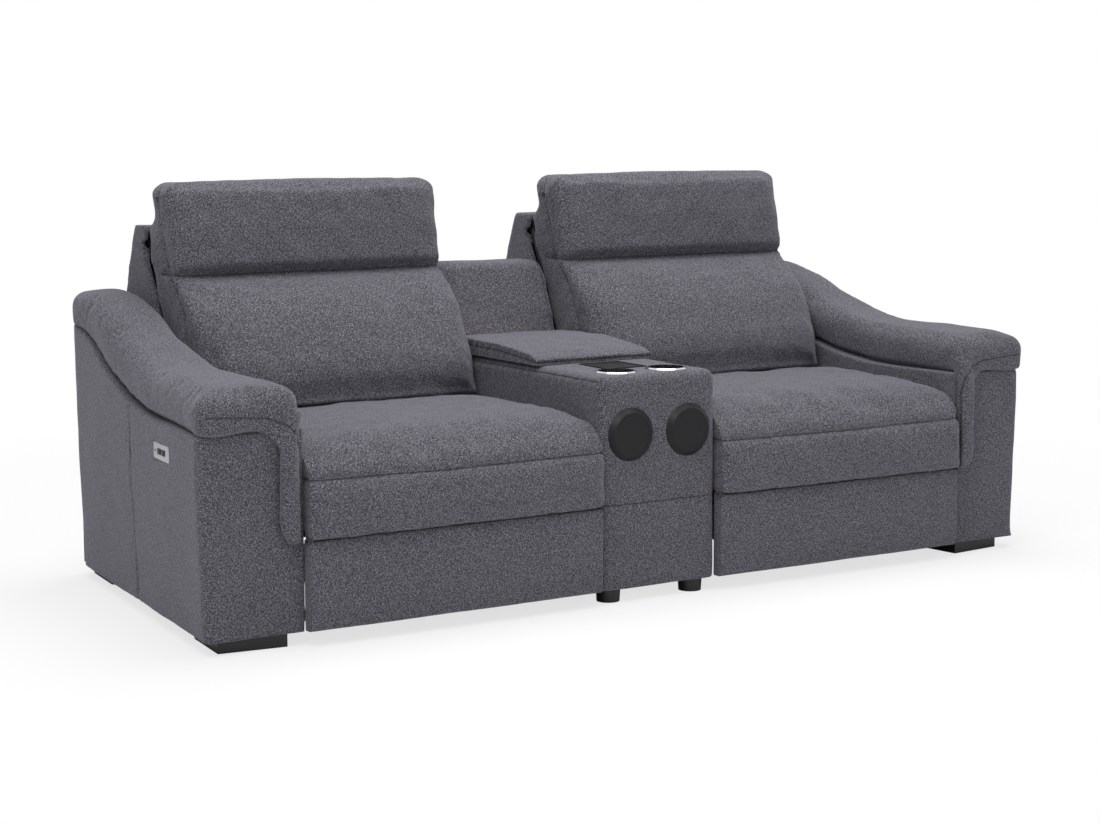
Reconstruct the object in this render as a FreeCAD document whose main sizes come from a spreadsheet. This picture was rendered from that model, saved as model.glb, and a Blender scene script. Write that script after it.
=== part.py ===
import FreeCAD, Part

import math
import os

import Sketcher

# Two-seat power reclining sofa with a fixed console between the seats.
# X runs to the viewer's right, Y to the back, Z up. While a piece is drawn, Y starts at the
# console's front face; each finished piece is then moved back so that the origin lies on the
# floor under the middle of the whole sofa.

# Driving dimensions in millimetres and degrees.
SIZES = {
    # overall
    "front_reach": 38,
    "rear_panel_thick": 12,
    "skirt_height": 33,
    "panel_gap": 3,
    "seam_gap": 0.3,
    # console
    "console_width": 360,
    "console_depth": 736,
    "console_top": 570,
    "console_corner": 28,
    "cover_wall": 16,
    "carcass_board": 15,
    "deck_board": 16,
    "lid_front": 292,
    "lid_setback": 20,
    "lid_thick": 42,
    "lid_lip": 15,
    "lid_slope": 170,
    "lid_board": 9,
    "lid_board_inset": 4,
    "cup_spread": 76,
    "cup_setback": 80,
    "cup_bore": 90,
    "cup_flange": 106,
    "cup_depth": 70,
    "cup_wall": 1.5,
    "charger_width": 122,
    "charger_depth": 134,
    "charger_setback": 208,
    "charger_thick": 6,
    "speaker_spread": 87,
    "speaker_level": 422,
    "speaker_ring": 134,
    "speaker_opening": 98,
    "speaker_bore": 110,
    "ring_proud": 12,
    "grille_recess": 0.6,
    "grille_thick": 1.5,
    "bin_wall": 2,
    "bin_floor": 330,
    "rear_pad_foot": 575,
    "rear_pad_top": 800,
    "rear_pad_lean": 24,
    "rear_pad_thick": 110,
    "rear_pad_clear": 12,
    "rear_pad_bend": 36,
    "rear_pad_edge": 20,
    "round_foot": 62,
    "round_foot_inset": 54,
    # hinge of the lid
    "leaf": 1.5,
    "knuckle": 3.5,
    "knuckle_gap": 0.5,
    "hinge_pin": 1.6,
    "pin_play": 0.05,
    "hinge_length": 300,
    "hinge_drop": 5,
    # arms
    "arm_width": 257,
    "arm_taper": 112,
    "arm_front": 13,
    "arm_rear": 1066,
    "arm_corner": 26,
    "arm_frame_inset": 22,
    "arm_frame_board": 15,
    "arm_frame_height": 430,
    "swoop_low": 504,
    "swoop_low_start": 290,
    "swoop_low_bend": 819,
    "swoop_low_end": 1058,
    "swoop_low_top": 667,
    "crown_low": 606,
    "crown_start": 320,
    "crown_bend": 690,
    "crown_end": 1010,
    "crown_top": 765,
    "pad_front": 18,
    "pad_overhang": 10,
    "pad_edge": 44,
    "tab_foot": 236,
    "tab_width": 68,
    "tab_sweep": 60,
    "block_foot_width": 168,
    "block_foot_depth": 176,
    "block_foot_skew": 6.2,
    "block_foot_front": 26,
    "block_foot_rear": 880,
    "block_foot_inset": 50,
    # controls on the arm's outer side
    "plate_length": 118,
    "plate_height": 38,
    "plate_thick": 3,
    "plate_proud": 1.5,
    "plate_setback": 282,
    "plate_level": 434,
    "rocker_length": 26,
    "rocker_height": 14,
    "rocker_depth": 5,
    "rocker_play": 0.5,
    "rocker_spread": 16,
    "rocker_pin": 1.2,
    "usb_length": 12,
    "usb_height": 5,
    # seats
    "seat_width": 803,
    "crease_level": 250,
    "seat_top": 487,
    "seat_rear": 600,
    "seat_front_edge": 95,
    "seat_lip": 46,
    "frame_top": 298,
    "rail_thick": 22,
    "rail_height": 44,
    "spring_wire": 4,
    "spring_count": 6,
    "spring_turns": 7,
    "spring_swing": 26,
    # footrest linkage
    "bar_length": 150,
    "bar_width": 20,
    "bar_thick": 4,
    "layer_pitch": 5,
    "bar_lean": 12,
    "rear_swing": 74,
    "cross_swing": 58,
    "pivot_level": 205,
    "pivot_setback": 112.4,
    "rivet": 8,
    "rivet_play": 0.05,
    "guide_play": 1.2,
    "tube": 25,
    "crank_drop": 40,
    "crank_thick": 8,
    "fork_length": 32,
    "control_length": 74.6,
    "control_pivot_drop": 72.1,
    "mechanism_inset": 7,
    # footrest
    "footrest_foot": 36,
    "footrest_top": 240,
    "footrest_front": 20,
    "footrest_pad_back": 8,
    "pan_thick": 4,
    # actuators
    "actuator_tube": 36,
    "actuator_rod": 20,
    "motor_size": 60,
    "motor_height": 96,
    "inlet": 5.6,
    "inlet_height": 10,
    "footrest_drive_shift": 90,
    "recline_drive_shift": 90,
    "recline_level": 210,
    # back
    "recline_setback": 640,
    "recline_height": 300,
    "back_lean": 25,
    "stile_width": 30,
    "stile_thick": 22,
    "back_frame_start": 650,
    "back_frame_foot": 330,
    "back_frame_top": 912,
    "back_lug": 90,
    "back_side_gap": 10,
    "cushion_foot": 492,
    "cushion_top": 782,
    "shell_wall": 12,
    "shell_foot": 240,
    "shell_top": 925,
    "rear_panel_top": 190,
    "shell_rear": 1060,
    # headrest
    "headrest_foot": 818,
    "headrest_top": 1040,
    "headrest_front": 758,
    "headrest_lean": 16,
    "headrest_thick": 88,
    "headrest_axis_y": 800,
    "headrest_axis_z": 801,
    "headrest_tube": 14,
    "ear_height": 19,
    "headrest_strap": 4,
    "headrest_strap_width": 40,
}

doc = FreeCAD.newDocument("sofa")
sheet = doc.addObject("Spreadsheet::Sheet", "Sizes")
for row, (alias, value) in enumerate(SIZES.items(), start=1):
    sheet.set(f"A{row}", alias)
    sheet.set(f"B{row}", str(value))
    sheet.setAlias(f"B{row}", alias)
doc.recompute()


class Size:
    """A size as the sheet knows it: the expression that works it out, and its present number."""

    def __init__(self, text, number):
        self.text = text
        self.number = number

    def __add__(self, other):
        return Size(f"({self.text} + {text(other)})", self.number + number(other))

    def __radd__(self, other):
        return Size(f"({text(other)} + {self.text})", number(other) + self.number)

    def __sub__(self, other):
        return Size(f"({self.text} - {text(other)})", self.number - number(other))

    def __rsub__(self, other):
        return Size(f"({text(other)} - {self.text})", number(other) - self.number)

    def __mul__(self, other):
        return Size(f"({self.text} * {text(other)})", self.number * number(other))

    def __rmul__(self, other):
        return Size(f"({text(other)} * {self.text})", number(other) * self.number)

    def __truediv__(self, other):
        return Size(f"({self.text} / {text(other)})", self.number / number(other))

    def __neg__(self):
        return Size(f"(-1 * {self.text})", -self.number)


class Sheet:
    """Gives each named size of the sheet as a Size."""

    def __getattr__(self, alias):
        return Size(f"Sizes.{alias}", float(sheet.get(alias)))


def text(value):
    return value.text if isinstance(value, Size) else repr(float(value))


def number(value):
    return value.number if isinstance(value, Size) else float(value)


def cosine(angle):
    return Size(f"cos({text(angle)})", math.cos(math.radians(number(angle))))


def sine(angle):
    return Size(f"sin({text(angle)})", math.sin(math.radians(number(angle))))


def tangent(angle):
    return Size(f"tan({text(angle)})", math.tan(math.radians(number(angle))))


S = Sheet()
NODES = []
rear_reach = S.arm_rear + S.rear_panel_thick
ORIGIN_BACK = (rear_reach - S.front_reach) / 2


def bind(thing, prop, value):
    """Sets a property from a size, as an expression of the sheet."""
    thing.setExpression(prop, text(value))


def place(thing, x=0, y=0, z=0, axis=None, angle=0):
    """Puts a piece at a point, turned about an axis through its own origin."""
    if axis is not None:
        thing.Placement = FreeCAD.Placement(FreeCAD.Vector(), FreeCAD.Rotation(axis, 1))
        bind(thing, "Placement.Rotation.Angle", angle)
    bind(thing, "Placement.Base.x", x)
    bind(thing, "Placement.Base.y", y)
    bind(thing, "Placement.Base.z", z)
    return thing


def deliver(thing, label):
    """Names a finished piece and moves it from the console's front face to the sofa's own frame."""
    known = dict(thing.ExpressionEngine)
    drawn = known.get(".Placement.Base.y", "0")
    thing.setExpression("Placement.Base.y", f"{drawn} - {ORIGIN_BACK.text}")
    thing.Label = label
    NODES.append(thing)
    return thing


def mirror(thing, label=None):
    """The same piece on the other side of the sofa's middle plane."""
    twin = doc.addObject("Part::Mirroring", "mirrored")
    twin.Source = thing
    twin.Normal = (1, 0, 0)
    if label:
        twin.Label = label
        NODES.append(twin)
    return twin


def both_sides(thing, label):
    """A piece and its mirrored twin, kept together as one sub-part of separate solids."""
    return deliver(group([thing, mirror(thing)]), label)


def deliver_pair(thing, label):
    """A right-hand piece and its left-hand twin, each a sub-part of its own."""
    deliver(thing, "right_" + label)
    mirror(thing, "left_" + label)


def block(x0, x1, y0, y1, z0, z1):
    """A box between two corners."""
    made = doc.addObject("Part::Box", "block")
    bind(made, "Length", x1 - x0)
    bind(made, "Width", y1 - y0)
    bind(made, "Height", z1 - z0)
    return place(made, x0, y0, z0)


def rod(direction, x, y, z, radius, length):
    """A round bar from a point along +X, +Y or +Z."""
    made = doc.addObject("Part::Cylinder", "rod")
    bind(made, "Radius", radius)
    bind(made, "Height", length)
    turns = {"X": ((0, 1, 0), 90), "Y": ((1, 0, 0), -90), "Z": (None, 0)}
    axis, angle = turns[direction]
    if axis is None:
        return place(made, x, y, z)
    return place(made, x, y, z, FreeCAD.Vector(*axis), angle)


def cone(direction, x, y, z, radius, end_radius, length):
    """A round taper from a point along +X, +Y or +Z."""
    made = doc.addObject("Part::Cone", "taper")
    bind(made, "Radius1", radius)
    bind(made, "Radius2", end_radius)
    bind(made, "Height", length)
    turns = {"Y": ((1, 0, 0), -90), "Z": (None, 0)}
    axis, angle = turns[direction]
    if axis is None:
        return place(made, x, y, z)
    return place(made, x, y, z, FreeCAD.Vector(*axis), angle)


def cut(base, *tools):
    """The base less every tool."""
    made = doc.addObject("Part::Cut", "cut")
    made.Base = base
    made.Tool = tools[0] if len(tools) == 1 else fuse(*tools)
    return made


def fuse(*shapes):
    """One solid from several that meet."""
    made = doc.addObject("Part::MultiFuse", "fused")
    made.Shapes = list(shapes)
    return made


def group(shapes):
    """Separate solids kept together."""
    made = doc.addObject("Part::Compound", "group")
    made.Links = list(shapes)
    return made


def rounded(base, radius, chosen):
    """The base with the edges that chosen(middle, direction) picks rounded."""
    doc.recompute()
    picked = []
    for index, edge in enumerate(base.Shape.Edges, start=1):
        first, last = edge.ParameterRange
        half = (first + last) / 2
        if chosen(edge.valueAt(half), edge.tangentAt(half)):
            picked.append((index, number(radius), number(radius)))
    made = doc.addObject("Part::Fillet", "rounded")
    made.Base = base
    made.Edges = picked
    return made


def origin_plane(body, role):
    return next(f for f in body.Origin.OriginFeatures if f.Role == role)


def arc_between(p, q, radius, side):
    """Circle arc from p to q; side 1 keeps its centre on the left of the way from p to q."""
    dx, dy = q[0] - p[0], q[1] - p[1]
    chord = math.hypot(dx, dy)
    rise = math.sqrt(max(radius * radius - chord * chord / 4, 0.0))
    cx = (p[0] + q[0]) / 2 - side * rise * dy / chord
    cy = (p[1] + q[1]) / 2 + side * rise * dx / chord
    start = math.atan2(p[1] - cy, p[0] - cx)
    end = math.atan2(q[1] - cy, q[0] - cx)
    circle = Part.Circle(FreeCAD.Vector(cx, cy, 0), FreeCAD.Vector(0, 0, 1), radius)
    if side > 0:
        return Part.ArcOfCircle(circle, start, end), 1, 2
    return Part.ArcOfCircle(circle, end, start), 2, 1


def draw(sketch, outline):
    """Draws a closed outline. A corner is (across, up), or (across, up, radius, side) where the
    edge that arrives there is an arc."""
    count = len(outline)
    ends = []
    for i in range(count):
        here, there = outline[i], outline[(i + 1) % count]
        p = (number(here[0]), number(here[1]))
        q = (number(there[0]), number(there[1]))
        if len(there) == 2:
            line = Part.LineSegment(FreeCAD.Vector(*p, 0), FreeCAD.Vector(*q, 0))
            ends.append((sketch.addGeometry(line), 1, 2))
        else:
            arc, first, last = arc_between(p, q, number(there[2]), there[3])
            ends.append((sketch.addGeometry(arc), first, last))
    for i in range(count):
        edge, first, last = ends[i]
        after, after_first, _ = ends[(i + 1) % count]
        sketch.addConstraint(Sketcher.Constraint("Coincident", edge, last, after, after_first))
        for kind, value in (("DistanceX", outline[i][0]), ("DistanceY", outline[i][1])):
            fixed = Sketcher.Constraint(kind, -1, 1, edge, first, number(value))
            index = sketch.addConstraint(fixed)
            if isinstance(value, Size):
                sketch.setExpression(f"Constraints[{index}]", value.text)
        there = outline[(i + 1) % count]
        if len(there) == 4:
            index = sketch.addConstraint(Sketcher.Constraint("Radius", edge, number(there[2])))
            if isinstance(there[2], Size):
                sketch.setExpression(f"Constraints[{index}]", there[2].text)


def draw_circle(sketch, across, up, radius):
    centre = FreeCAD.Vector(number(across), number(up), 0)
    circle = Part.Circle(centre, FreeCAD.Vector(0, 0, 1), number(radius))
    index = sketch.addGeometry(circle)
    for kind, value in (("DistanceX", across), ("DistanceY", up)):
        held = sketch.addConstraint(Sketcher.Constraint(kind, -1, 1, index, 3, number(value)))
        bind(sketch, f"Constraints[{held}]", value)
    held = sketch.addConstraint(Sketcher.Constraint("Radius", index, number(radius)))
    bind(sketch, f"Constraints[{held}]", radius)


def new_sketch(body, plane, start):
    """A sketch on one of the body's own planes, moved along its normal to start."""
    sketch = body.newObject("Sketcher::SketchObject", "outline")
    sketch.AttachmentSupport = [(origin_plane(body, plane + "_Plane"), "")]
    sketch.MapMode = "FlatFace"
    bind(sketch, "AttachmentOffset.Base.z", -start if plane == "XZ" else start)
    return sketch


def prism(plane, outline, start, end, holes=()):
    """An outline on the XY, XZ or YZ plane drawn out from start to end along that plane's
    positive axis. Holes are (across, up, radius)."""
    body = doc.addObject("PartDesign::Body", "prism")
    sketch = new_sketch(body, plane, start)
    draw(sketch, outline)
    for hole in holes:
        draw_circle(sketch, *hole)
    pad = body.newObject("PartDesign::Pad", "run")
    pad.Profile = sketch
    pad.Reversed = plane == "XZ"
    bind(pad, "Length", end - start)
    return body


def along(y, z, angle, distance):
    """The point at a distance from (y, z) in a direction, in the YZ plane."""
    return y + distance * cosine(angle), z + distance * sine(angle)


# Places that several pieces share.
console_half = S.console_width / 2
lid_rear = S.console_depth - S.lid_setback
seat_middle = console_half + S.seat_width / 2
seat_left = console_half + S.panel_gap
seat_right = console_half + S.seat_width - S.panel_gap
arm_inner = console_half + S.seat_width
arm_outer = arm_inner + S.arm_width
back_left = console_half + S.back_side_gap
back_right = arm_inner - S.back_side_gap


def arm_side(setback, inset=0):
    """Distance of the arm's tapered outer side from the middle plane at a setback."""
    share = (setback - S.arm_front) / (S.arm_rear - S.arm_front)
    return arm_outer - inset - S.arm_taper * share


def swoop(start, low, bend, end, top):
    """Two tangent arcs that rise from a level line to a higher one, with the bend between them.
    Gives the radius of each and the height of the bend."""
    run = end - start
    rise = top - low
    total = (run * run + rise * rise) / (2 * rise)
    first = total * (bend - start) / run
    last = total * (end - bend) / run
    height = low + rise * (bend - start) / run
    return first, last, height


def arm_cover():
    """Upholstered arm: a wedge in plan, with the swooping line of the pad on top, hollow below."""
    radius_low, radius_high, bend_height = swoop(
        S.swoop_low_start, S.swoop_low, S.swoop_low_bend, S.swoop_low_end, S.swoop_low_top
    )
    side = prism(
        "YZ",
        [
            (S.arm_front, S.skirt_height),
            (S.arm_rear, S.skirt_height),
            (S.arm_rear, S.swoop_low_top),
            (S.swoop_low_end, S.swoop_low_top),
            (S.swoop_low_bend, bend_height, radius_high, 1),
            (S.swoop_low_start, S.swoop_low, radius_low, -1),
            (S.arm_front, S.swoop_low),
        ],
        arm_inner,
        arm_outer,
    )
    trimmed = cut(side, outside_wedge())
    soft = rounded(
        trimmed,
        S.arm_corner,
        lambda at, way: at.x > number(arm_inner) + 60
        and (
            (at.y < number(S.arm_front) + 5 and abs(way.z) > 0.9)
            or (at.z < number(S.skirt_height) + 1 and at.x > number(arm_inner) + 60 and abs(way.y) > 0.9)
        ),
    )
    inset = S.arm_frame_inset - S.seam_gap
    hollow = prism(
        "XY",
        [
            (arm_inner + inset, S.arm_front + inset),
            (arm_side(S.arm_front + inset, inset), S.arm_front + inset),
            (arm_side(S.arm_rear - inset, inset), S.arm_rear - inset),
            (arm_inner + inset, S.arm_rear - inset),
        ],
        S.skirt_height,
        S.skirt_height + S.arm_frame_height + S.seam_gap,
    )
    return cut(soft, hollow)


def outside_wedge():
    """What lies outside the arm's tapered outer side, as a tool that trims it."""
    margin = S.arm_taper
    return prism(
        "XY",
        [
            (arm_outer, S.arm_front),
            (arm_outer + 2 * margin, S.arm_front),
            (arm_outer + 2 * margin, S.arm_rear + margin),
            (arm_side(S.arm_rear + margin), S.arm_rear + margin),
        ],
        0,
        S.crown_top + margin,
    )


def arm_frame():
    """Ply box of the arm: four upright walls that follow the wedge."""
    inset = S.arm_frame_inset
    wall = inset + S.arm_frame_board

    def ring(distance):
        return [
            (arm_inner + distance, S.arm_front + distance),
            (arm_side(S.arm_front + distance, distance), S.arm_front + distance),
            (arm_side(S.arm_rear - distance, distance), S.arm_rear - distance),
            (arm_inner + distance, S.arm_rear - distance),
        ]

    top = S.skirt_height + S.arm_frame_height
    return cut(
        prism("XY", ring(inset), S.skirt_height, top), prism("XY", ring(wall), S.skirt_height, top)
    )


def arm_pad():
    """Padded top of the arm: a swooping crown that overhangs the side, and at the front a tab
    that runs down beside the seat."""
    seam_low, seam_high, seam_bend = swoop(
        S.swoop_low_start, S.swoop_low, S.swoop_low_bend, S.swoop_low_end, S.swoop_low_top
    )
    crown_low, crown_high, crown_bend = swoop(
        S.crown_start, S.crown_low, S.crown_bend, S.crown_end, S.crown_top
    )
    lift = S.seam_gap
    margin = S.arm_taper
    under = S.swoop_low - margin
    crown = prism(
        "YZ",
        [
            (-S.pad_front, under),
            (S.swoop_low_end, under),
            (S.swoop_low_end, S.crown_top),
            (S.crown_end, S.crown_top),
            (S.crown_bend, crown_bend, crown_high, 1),
            (S.crown_start, S.crown_low, crown_low, -1),
            (-S.pad_front, S.crown_low),
        ],
        arm_inner,
        arm_outer + 2 * margin,
    )
    front = -S.pad_front - margin
    back = S.arm_rear + margin
    outer = S.pad_overhang
    beyond = prism(
        "XY",
        [
            (arm_side(front) + outer, front),
            (arm_outer + 3 * margin, front),
            (arm_outer + 3 * margin, back),
            (arm_side(back) + outer, back),
        ],
        0,
        S.crown_top + margin,
    )
    soft = rounded(cut(crown, beyond), S.pad_edge, lambda at, way: at.z > number(under) + 1)
    below = prism(
        "YZ",
        [
            (front, under - margin),
            (back, under - margin),
            (back, S.swoop_low_top + lift),
            (S.swoop_low_end, S.swoop_low_top + lift),
            (S.swoop_low_bend, seam_bend + lift, seam_high, 1),
            (S.swoop_low_start, S.swoop_low + lift, seam_low, -1),
            (front, S.swoop_low + lift),
        ],
        arm_inner - margin,
        arm_outer + margin,
    )
    return fuse(cut(soft, below), pad_tab())


def pad_tab():
    """Front tab of the arm pad, on the seat's side of the arm."""
    left = arm_inner
    right = arm_inner + S.tab_width
    sweep = S.tab_sweep
    curl = S.tab_width * 0.4
    foot = S.tab_foot
    join = S.swoop_low + S.pad_edge
    tab = prism(
        "XZ",
        [
            (left, foot),
            (right - curl - S.seam_gap, foot),
            (right, foot + S.tab_width, S.tab_width * 1.2, 1),
            (right + S.seam_gap, S.swoop_low - sweep),
            (right + sweep, S.swoop_low, sweep, -1),
            (right + sweep, join),
            (left, join),
        ],
        -S.pad_front,
        S.arm_front - S.seam_gap,
    )
    return rounded(
        tab,
        S.pad_front * 0.6,
        lambda at, way: at.y < 1 - number(S.pad_front) and at.z < number(S.swoop_low) - 2,
    )


def block_foot(setback):
    """Square plastic foot under an arm, turned with the arm's outer side."""
    made = doc.addObject("Part::Box", "block_foot")
    bind(made, "Length", S.block_foot_width)
    bind(made, "Width", S.block_foot_depth)
    bind(made, "Height", S.skirt_height)
    left = arm_side(setback, S.block_foot_inset) - S.block_foot_width
    turned = place(made, left, setback, 0, FreeCAD.Vector(0, 0, 1), S.block_foot_skew)
    return rounded(turned, 4, lambda at, way: abs(way.z) > 0.9)


def block_feet():
    """Front and rear foot of an arm. The rear one ends at the seat's side, where the arm is narrow."""
    front = block_foot(S.block_foot_front)
    rear = block_foot(S.block_foot_rear)
    margin = S.skirt_height
    beside = block(0, arm_inner, 0, S.arm_rear + margin, -margin, S.skirt_height + margin)
    return group([front, cut(rear, beside)])


def on_arm_side(shape):
    """Turns a piece drawn against the plane x = 0, with its middle at the origin, onto the arm's
    outer side at the control plate's place."""
    slope = S.arm_taper / (S.arm_rear - S.arm_front)
    angle = Size(f"atan({slope.text})", math.degrees(math.atan(slope.number)))
    outward = arm_side(S.plate_setback)
    return place(shape, outward, S.plate_setback, S.plate_level, FreeCAD.Vector(0, 0, 1), angle)


def plate_blank(depth_in, depth_out, length, height, across):
    """A slab with rounded corners in the side plane, from depth_in inside to depth_out outside."""
    slab = block(-depth_in, depth_out, across - length / 2, across + length / 2, -height / 2, height / 2)
    return rounded(slab, height / 6, lambda at, way: abs(way.x) > 0.9)


def control_plate():
    """Chrome plate on the arm with two rocker windows and a charging socket."""
    blank = plate_blank(S.rocker_depth, S.plate_proud, S.plate_length, S.plate_height, 0)
    windows = []
    for step in (-1, 1):
        window = block(
            -S.rocker_depth - 1,
            S.plate_proud + 1,
            step * S.rocker_spread - S.rocker_length / 2,
            step * S.rocker_spread + S.rocker_length / 2,
            -S.rocker_height / 2,
            S.rocker_height / 2,
        )
        windows.append(window)
    socket_middle = S.plate_length * 0.38
    socket = block(
        -S.rocker_depth + 1,
        S.plate_proud + 1,
        socket_middle - S.usb_length / 2,
        socket_middle + S.usb_length / 2,
        -S.usb_height / 2,
        S.usb_height / 2,
    )
    bores = [
        rod(
            "Z",
            0,
            step * S.rocker_spread,
            -rocker_pin_reach() - S.pin_play,
            S.rocker_pin + S.pin_play,
            2 * (rocker_pin_reach() + S.pin_play),
        )
        for step in (-1, 1)
    ]
    tongue = block(
        -S.rocker_depth,
        S.plate_proud - 1,
        socket_middle - S.usb_length / 2 + 1,
        socket_middle + S.usb_length / 2 - 1,
        -S.usb_height / 5,
        S.usb_height / 5,
    )
    return on_arm_side(fuse(cut(blank, *windows, *bores, socket), tongue))


def rocker_pin_reach():
    """Half the length of the upright pin that a rocker tips on."""
    return S.rocker_height / 2 + S.rocker_pin


def plate_pocket():
    """Room for the control plate in the arm's side."""
    slab = block(
        -S.rocker_depth - S.seam_gap,
        S.arm_corner,
        -S.plate_length / 2 - S.seam_gap,
        S.plate_length / 2 + S.seam_gap,
        -S.plate_height / 2 - S.seam_gap,
        S.plate_height / 2 + S.seam_gap,
    )
    return on_arm_side(group([slab]))


def rocker(step):
    """One rocker button, which tips about its upright middle line."""
    play = S.rocker_play
    middle = step * S.rocker_spread
    half = S.rocker_length / 2 - play
    cap = prism(
        "XY",
        [
            (-S.rocker_depth / 2, middle - half),
            (S.plate_proud + 1, middle - half),
            (S.plate_proud + 1, middle + half, S.rocker_length * 2, 1),
            (-S.rocker_depth / 2, middle + half),
        ],
        -S.rocker_height / 2 + play,
        S.rocker_height / 2 - play,
    )
    pin = rod("Z", 0, middle, -rocker_pin_reach(), S.rocker_pin, 2 * rocker_pin_reach())
    return on_arm_side(fuse(cap, pin))


def console_carcass():
    """Ply box inside the console: sides, floor, front, a divider and a taller rear board."""
    wall = S.carcass_board
    out = console_half - S.cover_wall - S.seam_gap
    front = S.cover_wall + S.seam_gap
    back = S.console_depth
    foot = S.skirt_height
    top = S.console_top - S.deck_board
    divider = S.lid_front + wall
    outer = block(-out, out, front, back, foot, top)
    speaker_room = block(-out + wall, out - wall, front + wall, divider, foot + wall, top + 1)
    bin_room = block(-out + wall, out - wall, divider + wall, back - wall, foot + wall, top + 1)
    holes = [
        rod("Y", side * S.speaker_spread, 0, S.speaker_level, S.speaker_bore / 2, S.console_width / 4)
        for side in (-1, 1)
    ]
    box = cut(outer, speaker_room, bin_room, *holes)
    rear_half = out - wall
    rear_top = S.rear_pad_foot + rear_board_rise()
    rear = block(-rear_half, rear_half, back - wall, back, top - 1, rear_top)
    return fuse(box, rear)


def console_cover():
    """Upholstered skin of the console: front, sides and deck, open below and over the bin."""
    half = console_half
    wall = S.cover_wall
    outer = block(-half, half, 0, S.console_depth, S.skirt_height, S.console_top)
    corner = S.console_corner
    soft = rounded(
        outer,
        corner,
        lambda at, way: at.y < 1 and (abs(way.z) > 0.9 or at.z > number(S.console_top) - 1)
        or (at.z > number(S.console_top) - 1 and abs(way.y) > 0.9),
    )
    inner = block(
        wall - half,
        half - wall,
        wall,
        S.console_depth + wall,
        S.skirt_height - wall,
        S.console_top - S.deck_board + S.seam_gap,
    )
    carcass_side = half - wall - S.carcass_board
    bin_mouth = block(
        -carcass_side,
        carcass_side,
        S.lid_front + 2 * S.carcass_board,
        S.console_depth + wall,
        S.console_top - S.deck_board - 1,
        S.console_top + 1,
    )
    speaker_holes = [
        rod("Y", side * S.speaker_spread, -1, S.speaker_level, S.speaker_bore / 2, wall + 2)
        for side in (-1, 1)
    ]
    cup_holes = [
        rod("Z", side * S.cup_spread, S.cup_setback, S.console_top - 2 * wall, cup_hole(), 3 * wall)
        for side in (-1, 1)
    ]
    recess = charger_block(S.seam_gap, S.console_top - S.charger_thick - S.seam_gap, S.console_top + 1)
    return cut(soft, inner, bin_mouth, *speaker_holes, *cup_holes, recess)


def cup_hole():
    """Radius of the hole that a cup holder drops into."""
    return S.cup_bore / 2 + S.cup_wall + S.seam_gap


def cup_holder(side):
    """Pressed steel cup with a rolled flange, open at the top."""
    x = side * S.cup_spread
    y = S.cup_setback
    wall = S.cup_wall
    rim = 2 * wall
    top = S.console_top + S.seam_gap
    cup = rod("Z", x, y, top - S.cup_depth, S.cup_bore / 2 + wall, S.cup_depth)
    flange = cone("Z", x, y, top, S.cup_flange / 2, S.cup_bore / 2 + 2 * wall, rim)
    inside = rod("Z", x, y, top - S.cup_depth + wall, S.cup_bore / 2, S.cup_depth + rim)
    return cut(fuse(cup, flange), inside)


def charger_block(grow, low, high):
    return block(
        -S.charger_width / 2 - grow,
        S.charger_width / 2 + grow,
        S.charger_setback - S.charger_depth / 2 - grow,
        S.charger_setback + S.charger_depth / 2 + grow,
        low,
        high,
    )


def charging_pad():
    """Flat charging tray with a shallow dished top, set into the deck."""
    slab = charger_block(0, S.console_top - S.charger_thick, S.console_top + 1)
    dish = charger_block(-4, S.console_top - 0.5, S.console_top + 2)
    return rounded(cut(slab, dish), 3, lambda at, way: abs(way.z) > 0.9)


def speaker_ring(side):
    """Bevelled trim ring that stands proud of the console's front, closed by its flat grille."""
    x = side * S.speaker_spread
    z = S.speaker_level
    proud = S.ring_proud
    bevel = cone("Y", x, -proud, z, S.speaker_opening / 2 + 6, S.speaker_ring / 2, proud - S.seam_gap)
    sleeve = rod("Y", x, -1, z, S.speaker_bore / 2 - S.seam_gap, S.cover_wall + S.carcass_board)
    opening = rod("Y", x, -proud - 1, z, S.speaker_opening / 2, 4 * proud)
    grille = rod("Y", x, -proud + S.grille_recess, z, S.speaker_opening / 2, S.grille_thick)
    return fuse(cut(fuse(bevel, sleeve), opening), grille)


def speaker_cone(side):
    """Shallow paper cone with its dust cap and rubber edge, seated in the ring."""
    x = side * S.speaker_spread
    z = S.speaker_level
    rim = S.speaker_opening / 2 - S.seam_gap
    edge = rod("Y", x, -S.ring_proud / 3, z, rim, 3)
    dish = cone("Y", x, -S.ring_proud / 3 + 3, z, rim * 0.9, rim * 0.4, 18)
    hollow = cone("Y", x, -S.ring_proud / 3 - 0.1, z, rim * 0.84, rim * 0.3, 17)
    cap = doc.addObject("Part::Sphere", "dust_cap")
    bind(cap, "Radius", rim * 0.42)
    place(cap, x, 12, z)
    front = cut(cap, rod("Y", x, 14, z, rim, S.speaker_ring))
    return fuse(cut(fuse(edge, dish), hollow), front)


def speaker_driver(side):
    """Basket, magnet and amplifier board behind the cone."""
    x = side * S.speaker_spread
    z = S.speaker_level
    start = S.cover_wall + S.carcass_board - 1 + S.seam_gap
    basket = cone("Y", x, start, z, S.speaker_bore / 2 - 2, S.speaker_bore / 3, 22)
    magnet = rod("Y", x, start + 22, z, S.speaker_bore * 0.36, 24)
    room = cone("Y", x, start - 1, z, S.speaker_bore / 2 - 4, S.speaker_bore / 3 - 2, 22)
    return cut(fuse(basket, magnet), room)


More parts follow.
